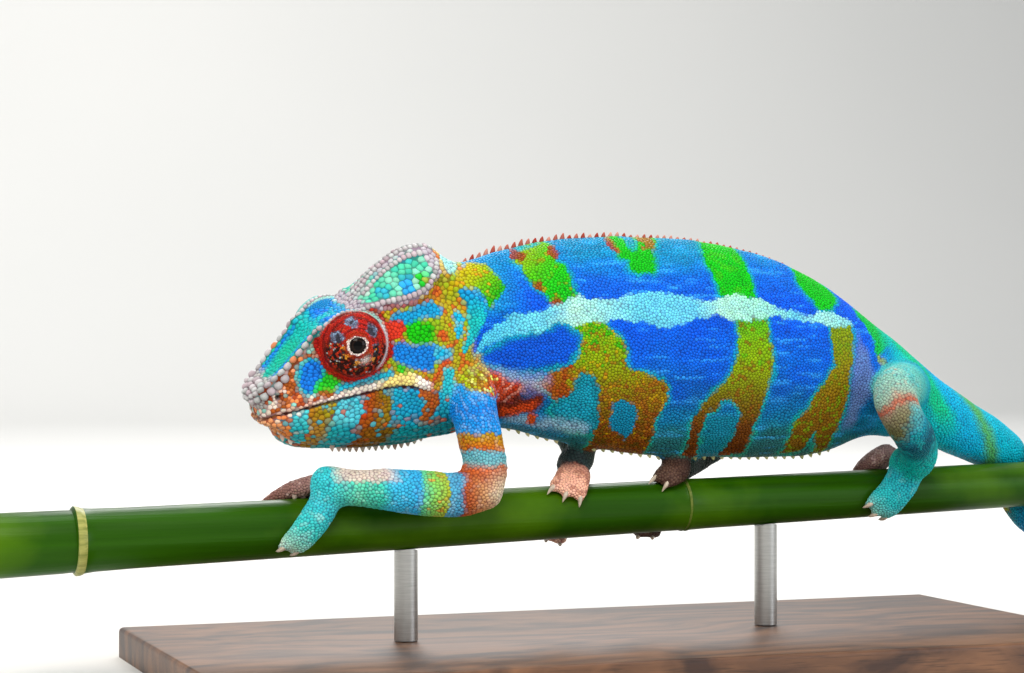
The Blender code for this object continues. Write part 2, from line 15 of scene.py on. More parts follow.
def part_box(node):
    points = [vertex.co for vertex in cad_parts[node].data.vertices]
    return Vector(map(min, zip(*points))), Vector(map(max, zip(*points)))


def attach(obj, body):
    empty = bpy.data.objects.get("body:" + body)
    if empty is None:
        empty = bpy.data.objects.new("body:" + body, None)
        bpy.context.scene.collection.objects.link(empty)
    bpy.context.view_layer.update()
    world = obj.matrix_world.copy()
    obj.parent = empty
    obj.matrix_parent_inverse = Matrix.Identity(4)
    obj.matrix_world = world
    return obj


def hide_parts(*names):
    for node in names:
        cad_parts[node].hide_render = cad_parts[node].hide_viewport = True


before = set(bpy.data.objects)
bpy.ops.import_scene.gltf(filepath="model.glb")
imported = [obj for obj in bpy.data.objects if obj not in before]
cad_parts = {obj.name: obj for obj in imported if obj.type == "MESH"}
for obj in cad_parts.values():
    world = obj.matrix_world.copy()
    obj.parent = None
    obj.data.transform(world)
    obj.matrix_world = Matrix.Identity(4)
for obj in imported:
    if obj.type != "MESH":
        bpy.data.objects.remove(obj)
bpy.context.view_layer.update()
bpy.ops.object.select_all(action="DESELECT")


# ---------------------------------------------------------------- room, light and camera
# A pale sweep of matt paper under soft boxes, as a museum lights a model: one above and in front
# for the form, a weaker one low on the camera's side, one behind for the outline and one for the wall.

MM = 0.001


def linear(code):
    """An sRGB hex colour as linear red, green, blue and alpha."""
    parts = [int(code[i:i + 2], 16) / 255 for i in (1, 3, 5)]
    return tuple(c / 12.92 if c <= 0.04045 else ((c + 0.055) / 1.055) ** 2.4 for c in parts) + (1.0,)


COLOUR_MIX = {"data_type": "RGBA"}


def feed(tree, fed, **inputs):
    """Sets a node's inputs; i6 is input number 6, and a tuple (other node, output) makes a link."""
    for name, value in inputs.items():
        numbered = name[0] == "i" and name[1:].isdigit()
        socket = fed.inputs[int(name[1:]) if numbered else name.replace("_", " ")]
        if isinstance(value, tuple) and len(value) == 2 and isinstance(value[0], bpy.types.Node):
            tree.links.new(value[0].outputs[value[1]], socket)
        else:
            socket.default_value = value


def node(tree, kind, settings=None, **inputs):
    """Adds one shader node with its settings and links."""
    made = tree.nodes.new(kind)
    for name, value in (settings or {}).items():
        setattr(made, name, value)
    feed(tree, made, **inputs)
    return made


def material(name):
    """A new material with its Principled shader: (material, tree, shader)."""
    made = bpy.data.materials.new(name)
    made.use_nodes = True
    return made, made.node_tree, made.node_tree.nodes["Principled BSDF"]


scene = bpy.context.scene
scene.view_settings.view_transform = "Standard"
world = bpy.data.worlds.new("studio")
scene.world = world
world.use_nodes = True
feed(world.node_tree, world.node_tree.nodes["Background"], Color=linear("#eef2f6"), Strength=0.75)

# Studio background paper: quite matt, with a faint cloudiness that keeps it from looking like a screen.
paper, tree, shader = material("matt_paper_sweep")
paper_grain = node(tree, "ShaderNodeTexNoise", Scale=9.0, Detail=2.0)
paper_mix = node(tree, "ShaderNodeMix", COLOUR_MIX, i0=(paper_grain, "Fac"),
                 i6=linear("#d6d5d1"), i7=linear("#dedcd8"))
feed(tree, shader, Base_Color=(paper_mix, 2), Roughness=0.9)

FLOOR_BACK, SWEEP_RADIUS, WALL_HEIGHT = 1.8, 0.7, 1.8
bpy.ops.mesh.primitive_plane_add(size=1, location=(0.0, 0.0, 0.0))
floor = bpy.context.object
floor.name = "floor_sweep"
floor.scale = (6.0, 2 * FLOOR_BACK, 1.0)
bpy.ops.object.transform_apply(location=False, rotation=False, scale=True)
bpy.ops.object.mode_set(mode="EDIT")
edit = bmesh.from_edit_mesh(floor.data)
for e in edit.edges:
    e.select_set(all(v.co.y > FLOOR_BACK - 0.1 for v in e.verts))
bpy.ops.mesh.spin(steps=12, angle=math.radians(-90), center=(0, FLOOR_BACK, SWEEP_RADIUS), axis=(1, 0, 0))
bpy.ops.mesh.extrude_region_move(TRANSFORM_OT_translate={"value": (0, 0, WALL_HEIGHT)})
bpy.ops.object.mode_set(mode="OBJECT")
floor.data.shade_smooth()
floor.data.materials.append(paper)


def soft_box(name, place, target, size, power, tint):
    lamp = bpy.data.lights.new(name, "AREA")
    lamp.shape = "RECTANGLE"
    lamp.size, lamp.size_y = size
    lamp.energy = power
    lamp.color = linear(tint)[:3]
    obj = bpy.data.objects.new(name, lamp)
    scene.collection.objects.link(obj)
    obj.location = place
    obj.rotation_euler = (Vector(target) - Vector(place)).to_track_quat("-Z", "Y").to_euler()


soft_box("key_box", (-0.35, -0.62, 0.85), (0, 0, 0.08), (0.55, 0.55), 8.6, "#fff8ee")
soft_box("fill_box", (0.85, -0.75, 0.35), (0.02, 0, 0.08), (0.6, 0.6), 3.2, "#f2f7ff")
soft_box("rim_box", (0.25, 0.75, 0.7), (0, 0, 0.09), (0.5, 0.5), 5.0, "#ffffff")
soft_box("wall_box", (0.0, 0.4, 1.9), (0, 2.3, 0.7), (2.0, 0.6), 42.0, "#ffffff")

CAMERA_PLACE = (-0.24076, -0.58003, 0.0846)  # level with the neck, to the animal's left and front
lens = bpy.data.cameras.new("camera")
lens.lens, lens.sensor_width = 85.0, 36.0
lens.clip_start, lens.clip_end = 0.05, 20.0
camera = bpy.data.objects.new("camera", lens)
scene.collection.objects.link(camera)
camera.location = CAMERA_PLACE
camera.rotation_euler = (math.radians(90), 0, math.radians(-20))
scene.camera = camera


# ---------------------------------------------------------------- skin
# The animal's hide in one closed sheet from snout to tail tip, cast as one piece in resin. It is
# wrapped over all the solids of flesh, smoothed, and let in to leave room for the scales.

NECK = np.array((-45.0, 0.0, 84.6))  # millimetres: origin of the body's own frame
HEAD_PIVOT = NECK + (0.0, 0.0, -2.0)
HEAD_TURN = np.array(Matrix.Rotation(math.radians(6), 3, "Z") @ Matrix.Rotation(math.radians(12), 3, "X"))
EYE_BASE = np.array((-31.7, -9.4, 2.2))  # middle of the left turret's foot, in the head's frame
EYE_LOOK = np.array((-1.9, -7.5, 1.2)) / np.linalg.norm((-1.9, -7.5, 1.2))

NOT_FLESH = ("perch_stem", "stand_", "eyeball_")
FLESH = [name for name in sorted(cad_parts) if not name.startswith(NOT_FLESH)]
HEAD_NODES = ("head", "lower_jaw", "eye_turret_left", "eye_turret_right")
BODY_NODES = ("neck", "trunk", "pelvis", "tail_base")
TAIL_NODES = ("tail_coil_1", "tail_coil_2", "tail_coil_3", "tail_tip")
BRIDGE = 0.36 * MM  # the solids grow by this much so that they meet
VOXEL = 0.94 * MM
COAT_DEPTH = 0.30 * MM


def object_from(work, name):
    """Ends the work on a mesh and puts it in the scene as an object."""
    mesh = bpy.data.meshes.new(name)
    work.to_mesh(mesh)
    work.free()
    made = bpy.data.objects.new(name, mesh)
    scene.collection.objects.link(made)
    return made


def select_only(obj):
    """Makes an object the active and only selected one."""
    bpy.ops.object.select_all(action="DESELECT")
    bpy.context.view_layer.objects.active = obj
    obj.select_set(True)


merged = {}
whole = bmesh.new()
for name in FLESH:
    piece = bmesh.new()
    piece.from_mesh(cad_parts[name].data)
    bmesh.ops.remove_doubles(piece, verts=piece.verts, dist=1e-6)
    piece.normal_update()
    merged[name] = BVHTree.FromBMesh(piece)
    grown = [v.co + v.normal * BRIDGE for v in piece.verts]
    for v, place in zip(piece.verts, grown):
        v.co = place
    held = bpy.data.meshes.new("held")
    piece.to_mesh(held)
    piece.free()
    whole.from_mesh(held)
    bpy.data.meshes.remove(held)
skin = object_from(whole, "skin")
wrap = skin.modifiers.new("wrap", "REMESH")
wrap.mode = "VOXEL"
wrap.voxel_size = VOXEL
select_only(skin)
bpy.ops.object.modifier_apply(modifier="wrap")
skin_mesh = skin.data


def points_of(mesh, normals=False):
    """The places of a mesh's vertices, or their normals, as rows."""
    rows = np.empty(len(mesh.vertices) * 3, np.float32)
    if normals:
        mesh.vertex_normals.foreach_get("vector", rows)
    else:
        mesh.vertices.foreach_get("co", rows)
    return rows.reshape(-1, 3).astype(np.float64)


def move_points(mesh, places):
    mesh.vertices.foreach_set("co", places.astype(np.float32).ravel())
    mesh.update()


SEARCH = 0.003  # metres round a solid's box, within which a point may lie on it


def nearest_part(points):
    """For each point the index in FLESH of the solid it lies on."""
    best = np.full(len(points), 1e9)
    part = np.zeros(len(points), np.int32)
    for index, name in enumerate(FLESH):
        low, high = (np.array(corner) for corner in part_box(name))
        near = np.where(np.all((points > low - SEARCH) & (points < high + SEARCH), axis=1))[0]
        tree = merged[name]
        for i in near:
            distance = tree.find_nearest(points[i])[3]
            if distance < best[i]:
                best[i], part[i] = distance, index
    return part


def chosen(part, names):
    return np.isin(part, [FLESH.index(name) for name in names])


def smoothed(mesh, values, amount, rounds):
    """Values averaged over neighbouring vertices, each vertex moving by its own amount a round."""
    ends = np.empty(len(mesh.edges) * 2, np.int32)
    mesh.edges.foreach_get("vertices", ends)
    a, b = ends[0::2], ends[1::2]
    count = np.bincount(ends, minlength=len(values))[:, None]
    for _ in range(rounds):
        total = np.stack([
            np.bincount(a, values[b, k], len(values)) + np.bincount(b, values[a, k], len(values))
            for k in range(values.shape[1])], axis=1)
        values = values + amount[:, None] * (total / count - values)
    return values


part = nearest_part(points_of(skin_mesh))
TOE_NODES = [name for name in FLESH if name.startswith("toes")]
LIMB_EVENNESS, BODY_EVENNESS, FINE_EVENNESS, ROUNDS = 0.30, 0.5, 0.10, 36
# each round evens out the round trunk most, and the toes and the head least
evenness = np.full(len(part), LIMB_EVENNESS)
evenness[chosen(part, BODY_NODES)] = BODY_EVENNESS
evenness[chosen(part, (*HEAD_NODES, *TOE_NODES))] = FINE_EVENNESS
evenness = smoothed(skin_mesh, evenness[:, None], np.full(len(part), 0.5), 6)[:, 0]
start_points = points_of(skin_mesh)
once = smoothed(skin_mesh, start_points, evenness, ROUNDS)
places = once + smoothed(skin_mesh, start_points - once, evenness, ROUNDS)
move_points(skin_mesh, places)

# The head has finer forms than the rest, so its faces are divided once more.
fine = bmesh.new()
fine.from_mesh(skin_mesh)
on_head = chosen(part, HEAD_NODES)
fine.verts.ensure_lookup_table()
inner = [e for e in fine.edges if on_head[e.verts[0].index] and on_head[e.verts[1].index]]
bmesh.ops.subdivide_edges(fine, edges=inner, cuts=1, use_grid_fill=True, smooth=0.6)
fine.to_mesh(skin_mesh)
fine.free()
bpy.ops.object.select_all(action="DESELECT")
skin_mesh.update()
part = nearest_part(points_of(skin_mesh))

# Seventeen regions, each with a soft edge, so that neither a marking nor a scale changes at a seam.
REGIONS = {"head": ("head", "lower_jaw"), "turret_left": ("eye_turret_left",),
           "turret_right": ("eye_turret_right",), "body": BODY_NODES, "tail": TAIL_NODES}
for place in ("hand_left", "hand_right", "foot_left", "foot_right"):
    limb, side = place.split("_")
    upper, lower = ("upper_arm", "forearm") if limb == "hand" else ("thigh", "shin")
    REGIONS[("arm_" if limb == "hand" else "leg_") + side] = (f"{upper}_{side}", f"{lower}_{side}", place)
    REGIONS["outer_" + place] = (f"toes_outer_{place}",)
    REGIONS["inner_" + place] = (f"toes_inner_{place}",)
REGION_NAMES = list(REGIONS)
share = np.stack([chosen(part, names) for names in REGIONS.values()], axis=1).astype(float)
share = smoothed(skin_mesh, share, np.full(len(part), 0.5), 5)

# Lines down the middle of each region, in millimetres, with a pair of directions carried along them.
STEM_HEIGHT, STEM_RISE, STEM_RADIUS, STEM_TAPER = 40.0, 0.0316, 6.81, 0.0053


def stem_z(x):
    return STEM_HEIGHT + STEM_RISE * x


def stem_radius(x):
    return STEM_RADIUS - STEM_TAPER * x


def round_stem(x, angle, distance):
    a = math.radians(angle)
    return np.array((x, distance * math.cos(a), stem_z(x) + distance * math.sin(a)))


LINE_POINTS = 90


def even_line(rows, count=LINE_POINTS):
    """A smooth line through rows of points, at equal steps along it."""
    rows = np.array(rows, float)
    at = np.concatenate([[0], np.cumsum(np.linalg.norm(np.diff(rows, axis=0), axis=1))])
    t = np.linspace(0, at[-1], count)
    slope = np.gradient(rows, at, axis=0)
    i = np.clip(np.searchsorted(at, t) - 1, 0, len(at) - 2)
    h = (at[i + 1] - at[i])[:, None]
    s = (t - at[i])[:, None] / h
    return ((2 * s**3 - 3 * s**2 + 1) * rows[i] + (s**3 - 2 * s**2 + s) * h * slope[i]
            + (-2 * s**3 + 3 * s**2) * rows[i + 1] + (s**3 - s**2) * h * slope[i + 1])


ARM_LEFT = [(2.5, -5.5, -10), (1, -11, -16.5), (1.4, -15, -25), (2.2, -17.4, -32.2), (1.2, -17.9, -37.2),
            (-5, -17.2, -38.9), (-14, -15.4, -38.3), (-23, -13.4, -37.3), (-30.2, -11.2, -37),
            (-36.6, -5, -36.1)]
ARM_RIGHT = [(6.5, 5.5, -10), (8.6, 13.5, -10), (13, 22, -8.8), (19, 28.4, -9.6), (26.2, 27.8, -13.8),
             (32.4, 21.4, -19.2), (36.4, 14, -24.8), (37.2, 8.6, -29.8), (32, 2.2, -33.9)]
LEG_LEFT = [(127, -3, -13.4), (122.6, -10, -13.6), (117.2, -17.4, -13.8), (112.8, -23.2, -16.2),
            (114.2, -25, -21.2), (119.4, -21.4, -25.6), (124.2, -15.8, -30), (126.4, -11.8, -33.2),
            (124.2, -4.8, -33.2)]
LEG_RIGHT = [(126, 2.5, -13.6), (118.5, 10, -14), (107, 17, -16), (97.5, 20.6, -19), (88.5, 18.8, -23.4),
             (79, 14.8, -28.4), (71, 10.4, -32.2), (63.8, 4.2, -34)]
TRUNK_MIDDLE = [(0, 0, -1), (24, 0, -1), (60, 0, -3), (93, 0, -6.5), (114, 0, -12), (130, 0.2, -18),
                (150, 3.2, -26), (166, 8.4, -33)]
TOE_BUNDLES = {  # region: (start x, angle), (end x, angle), toes
    "outer_hand_left": ((-79.8, 130), (-89.8, 207), 2), "inner_hand_left": ((-80.5, 100), (-91.5, 10), 3),
    "outer_hand_right": ((-10.2, 62), (-16.6, -58), 2), "inner_hand_right": ((-12.8, 94), (-17.0, 138), 3),
    "outer_foot_left": ((81.0, 136), (71.8, 211), 3), "inner_foot_left": ((79.0, 92), (73.0, -2), 2),
    "outer_foot_right": ((19.6, 58), (7.6, -58), 3), "inner_foot_right": ((16.6, 98), (10.6, 120), 2)}


def tail_middle(turns):
    x = 123.3 + 24.0 * (1 - math.exp(-turns / 1.2)) + 3.0 * turns
    thick = np.interp(turns, (0, 0.25, 0.6, 1, 1.5, 2, 2.45), (6.1, 5.4, 4.7, 3.9, 3.1, 2.1, 1.0))
    return round_stem(x, 33 - 360 * turns, stem_radius(x) + thick + 0.45)


ALONG_HEAD = np.linspace(-75, 45, 600)
SNOUT_BEGINS, SNOUT_LENGTH, SNOUT_DRAWN, CHIN_LIFT = -44, 12, 1.5, 1.1


def drawn_back(x):
    """Places along the head once the front of its snout is drawn back, most at the tip."""
    return x + SNOUT_DRAWN * np.clip((SNOUT_BEGINS - x) / SNOUT_LENGTH, 0, 1.2) ** 2


def head_to_world(rows):
    rows = np.array(rows, float)
    rows[..., 0] = drawn_back(rows[..., 0])
    return HEAD_PIVOT + rows @ HEAD_TURN.T


LINES = {
    "head": even_line(head_to_world([(-56, 0, -14), (-30, 0, -4), (0, 0, -1)])),
    "body": even_line(NECK + np.array(TRUNK_MIDDLE)),
    "tail": even_line([tail_middle(t) for t in np.arange(0, 2.46, 0.07)], 160),
    "arm_left": even_line(NECK + np.array(ARM_LEFT)), "arm_right": even_line(NECK + np.array(ARM_RIGHT)),
    "leg_left": even_line(NECK + np.array(LEG_LEFT)), "leg_right": even_line(NECK + np.array(LEG_RIGHT))}
for name, ((x0, a0), (x1, a1), _) in TOE_BUNDLES.items():
    LINES[name] = even_line([round_stem(x0 + (x1 - x0) * t, a0 + (a1 - a0) * t, stem_radius(x1) + 2)
                             for t in np.linspace(0, 1.12, 9)], 40)


BLOCK = 20000  # points measured at a time, which keeps the memory small


def along_and_around(points, line):
    """For points in millimetres: share of the line's length, distance along it and angle round it."""
    ahead = np.gradient(line, axis=0)
    ahead /= np.linalg.norm(ahead, axis=1, keepdims=True)
    sides = np.empty_like(line)
    side = np.cross(ahead[0], (0, 1, 0) if abs(ahead[0][1]) < 0.8 else (1, 0, 0))
    for i, direction in enumerate(ahead):
        side = side - direction * side.dot(direction)
        side /= np.linalg.norm(side)
        sides[i] = side
    nearest = np.empty(len(points), int)
    for first in range(0, len(points), BLOCK):
        block = points[first:first + BLOCK]
        nearest[first:first + BLOCK] = ((block[:, None] - line[None]) ** 2).sum(2).argmin(1)
    off = points - line[nearest]
    slide = (off * ahead[nearest]).sum(1)
    rise = np.cross(ahead[nearest], sides[nearest])
    angle = np.arctan2((off * rise).sum(1), (off * sides[nearest]).sum(1))
    step = np.linalg.norm(np.diff(line, axis=0), axis=1).mean()
    travel = np.clip(nearest * step + slide, 0, (len(line) - 1) * step)
    return travel / ((len(line) - 1) * step), travel, angle


def into_body(points):
    return points / MM - NECK


def into_head(points, drawn=True):
    """In the head's frame, as before its snout was drawn back, and folded onto its left side."""
    local = (points / MM - HEAD_PIVOT) @ HEAD_TURN
    if drawn:
        local[:, 0] = np.interp(local[:, 0], drawn_back(ALONG_HEAD), ALONG_HEAD)
    local[:, 1] = -np.abs(local[:, 1])
    return local


EYE_UP = np.cross(np.cross(EYE_LOOK, (0, 0, 1)), EYE_LOOK)
EYE_UP /= np.linalg.norm(EYE_UP)
EYE_BACK = np.cross(EYE_LOOK, EYE_UP)
EYE_BACK *= np.sign(EYE_BACK[0])


def into_turret(local):
    """From the folded head frame: distance along the look, distance from its axis, angle from the rear."""
    off = local - EYE_BASE
    up, back = off @ EYE_UP, off @ EYE_BACK
    return off @ EYE_LOOK, np.hypot(up, back), np.arctan2(up, back)


def lattice(cells, seed):
    """A repeatable pseudo-random number from 0 to 1 for each integer cell."""
    mixed = cells[..., 0] * 374761393 + cells[..., 1] * 668265263 + cells[..., 2] * 2147483647
    mixed = mixed + seed * 974711
    mixed = (mixed ^ (mixed >> 13)) * 1274126177
    return ((mixed ^ (mixed >> 16)) & 0xFFFFF) / 0xFFFFF


def noise(points, size, seed=0):
    """Smooth noise from -1 to 1 over points, with features about `size` across."""
    at = points / size + 100.0
    cell = np.floor(at).astype(np.int64)
    f = at - cell
    f = f * f * (3 - 2 * f)
    total = np.zeros(len(points))
    for corner in np.ndindex(2, 2, 2):
        weight = np.where(corner, f, 1 - f)
        total += weight[:, 0] * weight[:, 1] * weight[:, 2] * lattice(cell + np.array(corner), seed)
    return total * 2 - 1


def inside(a, b, outline, reach=3.0):
    """How far (a, b) lies inside a closed outline; negative outside it."""
    ring = np.array(outline, float)
    depth = np.full(len(a), -99.0)
    low, high = ring.min(0) - reach, ring.max(0) + reach
    near = np.where((a > low[0]) & (a < high[0]) & (b > low[1]) & (b < high[1]))[0]
    if not len(near):
        return depth
    p = np.stack((a[near], b[near]), 1)[:, None]
    along = np.roll(ring, -1, 0) - ring
    t = np.clip(((p - ring) * along).sum(2) / (along**2).sum(1), 0, 1)
    gap = np.linalg.norm(p - ring - t[..., None] * along, axis=2).min(1)
    straddles = (ring[:, 1] > p[..., 1]) != (np.roll(ring, -1, 0)[:, 1] > p[..., 1])
    rise = np.where(along[:, 1] == 0, 1e-9, along[:, 1])
    left = p[..., 0] < along[:, 0] * (p[..., 1] - ring[:, 1]) / rise + ring[:, 0]
    depth[near] = np.where((straddles & left).sum(1) % 2, gap, -gap)
    return depth


def beside(a, b, line):
    """Distance from (a, b) to an open line of points."""
    rows = np.array(line, float)
    p = np.stack((a, b), 1)[:, None]
    along = np.diff(rows, axis=0)
    t = np.clip(((p - rows[:-1]) * along).sum(2) / (along**2).sum(1), 0, 1)
    return np.linalg.norm(p - rows[:-1] - t[..., None] * along, axis=2).min(1)


def bell(distance, width):
    return np.exp(-(distance / width) ** 2)


def window(value, low, high, soft=1.0):
    return np.clip((value - low) / soft, 0, 1) * np.clip((high - value) / soft, 0, 1)


def edge(depth, soft=0.5):
    return np.clip(0.5 + depth / (2 * soft), 0, 1)


def within(x, z, outline, soft=0.27):
    return edge(inside(x, z, outline), soft)


def disc(across, up, radius, soft=0.23):
    return edge(radius - np.hypot(across, up), soft)


def flecked(field, level, soft=0.23):
    """Where a field of noise stands above a level."""
    return edge(field * 2 - level, soft)


def region(name, weights):
    return weights[:, REGION_NAMES.index(name)]


# Folds, lips, nostrils, lids and wrinkles, as moves along the normal in millimetres.
MOUTH = [(-53, -18), (-50, -16.3), (-46, -14.9), (-39.4, -12.5), (-29, -9.6), (-22, -7.9), (-17, -7.8),
         (-11, -9.2)]
NOSTRIL = (-49.6, -11.6)
THROAT_FOLD = [(0.3, -14), (0.6, -9), (0.8, -5), (3, 0), (9, 5)]
points, out = points_of(skin_mesh), points_of(skin_mesh, normals=True)
body, head = into_body(points), into_head(points, drawn=False)
ahead_of_lids, lid_radius, _ = into_turret(head)
head_share = region("head", share)
turret_share = region("turret_left", share) + region("turret_right", share)
lip = head[:, 2] - np.interp(head[:, 0], *np.array(MOUTH).T)
on_lips = head_share * window(head[:, 0], -60, -10.5, 2.0)
push = on_lips * (0.24 * bell(lip - 1.3, 0.8) + 0.2 * bell(lip + 1.3, 0.8) - 0.6 * bell(lip, 0.42))
nose = np.hypot(head[:, 0] - NOSTRIL[0], head[:, 2] - NOSTRIL[1])
push += head_share * (0.3 * bell(nose - 1.1, 0.45) - 1.0 * bell(nose, 0.6)) * (head[:, 1] < -1)
push -= 1.1 * turret_share * edge(1.72 - lid_radius, 0.2) * (ahead_of_lids > 4)
push += turret_share * (0.13 * np.sin(2 * math.pi * lid_radius / 1.05) * window(lid_radius, 3.2, 8.4)
                        + 0.32 * bell(lid_radius - 2.3, 0.35) - 0.25 * bell(lid_radius - 3.1, 0.35))
low_on_eye = (head_share + turret_share) * window(ahead_of_lids, -4, 3.2, 1.0)
push += low_on_eye * (0.42 * bell(lid_radius - 10.6, 0.6) - 0.5 * bell(lid_radius - 9.2, 0.6))
fold = beside(body[:, 0], body[:, 2], THROAT_FOLD)
fold_two = beside(body[:, 0] - 2.6, body[:, 2] + 0.5, THROAT_FOLD)
torso = region("body", share) + head_share
push += torso * (np.abs(body[:, 1]) > 3) * (-0.75 * bell(fold, 0.8) - 0.4 * bell(fold_two, 0.8))
under_jaw = head_share * window(head[:, 2], -40, -18, 3) * window(head[:, 0], -50, -6, 4)
push += under_jaw * 1.3 * bell(head[:, 1], 2.0)
push += head_share * window(head[:, 2], -40, -17, 3) * 0.16 * np.sin(2 * math.pi * head[:, 1] / 2.4)
push -= head_share * 1.3 * bell(head[:, 0] + 51, 5.0) * edge(-20.5 - head[:, 2], 1.5)
push += region("body", share) * 0.22 * noise(body, 8.0, 3)
for name, bends in (("arm_left", (0.36, 0.83)), ("arm_right", (0.36, 0.86)), ("leg_left", (0.36, 0.82)),
                    ("leg_right", (0.46, 0.86))):
    on_limb = np.where(region(name, share) > 0.3)[0]
    at, travel, _ = along_and_around(points[on_limb] / MM, LINES[name])
    near_bend = sum(bell(at - bend, 0.06) for bend in bends)
    wrinkles = near_bend * 0.16 * np.sin(2 * math.pi * travel / 1.7)
    push[on_limb] += wrinkles + 0.12 * noise(body[on_limb], 3.5, 5)
places = points + out * push[:, None] * MM - out * COAT_DEPTH
back = head_share * (drawn_back(head[:, 0]) - head[:, 0])
chin = head_share * np.clip((-42 - head[:, 0]) / 8, 0, 1) * np.clip((-19.5 - head[:, 2]) / 3, 0, 1)
places += np.stack((back, 0 * back, CHIN_LIFT * chin), axis=1) @ HEAD_TURN.T * MM
move_points(skin_mesh, places)


# ---------------------------------------------------------------- markings
# An Ambilobe male in full colour: blue flanks under green bars that turn olive and rust low down, a
# pale stripe along each side, a red eye and a head in patches of green, blue, cyan and orange. The
# hide is painted with thinned colour before its scales are, and both take the same function.
# Outlines are (along the body, height) in millimetres, from the point where head and neck meet.
# Some light and shade is painted in as well: a shadow in the armpit, dark inner faces and feet on the far
# limbs, a dark lower half and a rear sheen on each eye turret, a dark nostril and mouth seam, and shade
# down the front of each shin.

NAPE = [(-5.5, 9.5), (-5.5, 12.5), (-2, 15.5), (1.5, 18.5), (6, 17.8), (8.7, 14.7), (9.7, 12.5), (8, 9.6),
        (5, 6.8), (4.2, 9.4), (2.8, 11.8), (-0.8, 13), (-3.2, 12)]
NECK_STRIP = [(-3.2, 11.2), (-1.2, 12.3), (2, 11.2), (3.6, 8), (4.1, 5.2), (2.6, 2), (0.9, -2),
              (-1.2, -4.8), (-1.8, -3), (-0.2, 1), (0.1, 5.8), (-1.7, 9.2)]
BAR_1 = [(13.5, 19.4), (15, 21), (18.3, 23), (23.7, 24), (24.6, 22), (24.3, 18.6), (26.2, 17.7),
         (27.2, 14.3), (27, 11.4), (29, 10), (27, 9), (22, 8.2), (20, 9.7), (17, 13.4), (15.3, 16.8)]
PATCH_2 = [(40.8, 26), (41.3, 21.8), (41.5, 19.8), (43.7, 19.6), (43.5, 17.5), (45.5, 16.2), (49.6, 16),
           (51.4, 20.2), (53.7, 24.2), (54, 27), (49, 27), (46, 21.5), (44, 27)]
STRIPE_TOP = [(1.3, -4), (4.2, 1), (9, 4.7), (16.3, 6.5), (21, 7.2), (29, 10), (34.7, 9), (40.3, 10.6),
              (47.2, 11.5), (54.3, 10.8), (62.5, 9.5), (67.4, 9.7), (72, 11), (78.3, 10), (84.4, 7.4),
              (96.3, 5.8), (101.7, 6.5), (108.2, 4.1), (112, 2.8)]
STRIPE_LOW = [(1.4, -5), (5, -2), (11.4, 0.3), (17.7, 1.3), (24.2, 3.4), (29, 3.2), (34.2, 4.1),
              (37.8, 4.7), (41.8, 3.9), (52.3, 2.2), (61, 5.2), (66.8, 5.6), (71, 4.2), (80.4, 4.2),
              (84, 5.5), (97, 3.6), (100, 2.7), (107, 2.7), (112, 2.6)]
DEEP_BLUE = [(2.2, -5.3), (10, -0.7), (24, 3), (28.4, 0.5), (28, -3.2), (24.6, -7), (18, -8.6), (10.6, -9),
             (5.4, -7.8)]
BAR_1_LOW = [(25.9, 3), (34.2, 4.1), (36.8, 1.4), (39, -1.2), (41.8, -8.3), (46, -9.6), (52.6, -13),
             (52, -16.4), (50.6, -20.7), (50.4, -26.3), (50.8, -34), (35.4, -34), (35.6, -26.2),
             (34.5, -21.4), (34, -13.7), (32.3, -10.4), (30, -9), (27.6, -10.8), (26.6, -14), (23.2, -16.2),
             (21.2, -14), (17.6, -12), (19.8, -9.5), (24.7, -7.8), (28, -4.5), (28.4, 0.5)]
SPOT_A = [(26.6, -14), (27.6, -10.8), (30, -9), (32.7, -10.8), (34, -13.7), (34.5, -21.4), (35, -25),
          (31.6, -24.4), (24.6, -22.2), (21.7, -19.2), (24, -15.8)]
SPOT_B = [(40.7, -15.5), (44.7, -18), (45.5, -23.2), (43.7, -26.7), (39.6, -24), (37.6, -20), (38.3, -16.7)]
SHOULDER = [(-1, -4.5), (3, -5.3), (4.5, -13.6), (1.5, -17), (-2, -15)]
BAR_3 = [(67, 26), (65.8, 18.6), (66.6, 14.7), (67.5, 10.4), (78.3, 10), (78, 14.3), (77.4, 19.6), (77, 25)]
BAR_3_LOW = [(71.2, 4.2), (80.4, 4.2), (81.7, -4.6), (81.9, -9.8), (80.2, -16.7), (78.8, -22), (78, -31),
             (72, -31), (74, -21.8), (73.2, -18.3), (71, -15.7), (68, -16.5), (64, -20.4), (63.4, -24.7),
             (65.2, -31.5), (61.2, -31.5), (60, -22.5), (62.6, -17.3), (65.6, -14.8), (70.3, -9),
             (71.5, -3.3)]
BAR_4 = [(94.5, 20), (98.7, 18), (105.4, 10.7), (102.5, 7), (98.4, 7), (94.5, 11), (92.7, 14.5)]
BAR_4_LOW = [(99.8, 2.7), (100.7, -7), (97.2, -13), (93.2, -18), (90.4, -23.4), (88.7, -31), (94.2, -31),
             (97, -24.3), (98.8, -31), (102.3, -31), (104.3, -20), (105.8, -12.6), (107, -5.6),
             (107.4, 2.7)]
BAR_5 = [(111.2, 8), (119, 4), (124, -0.3), (117.2, -4), (116, -7), (114.8, -0.3), (112.4, 3.2)]
HIP_GREY = [(109, 1), (112.3, -4.7), (113, -10), (112.5, -14.4), (108.2, -24), (105.5, -24), (107, -10)]


def rgb(code):
    return np.array(linear(code)[:3])


def ramp(at, *stops):
    """Colours along a run of (position, hex) stops."""
    colours = np.array([rgb(code) for _, code in stops])
    return np.stack([np.interp(at, [place for place, _ in stops], colours[:, k]) for k in range(3)], axis=1)


def laid(under, over, amount):
    """A colour, or an array of them, laid over another by amount."""
    if isinstance(over, str):
        over = rgb(over)
    return under + (over - under) * np.clip(amount, 0, 1)[:, None]


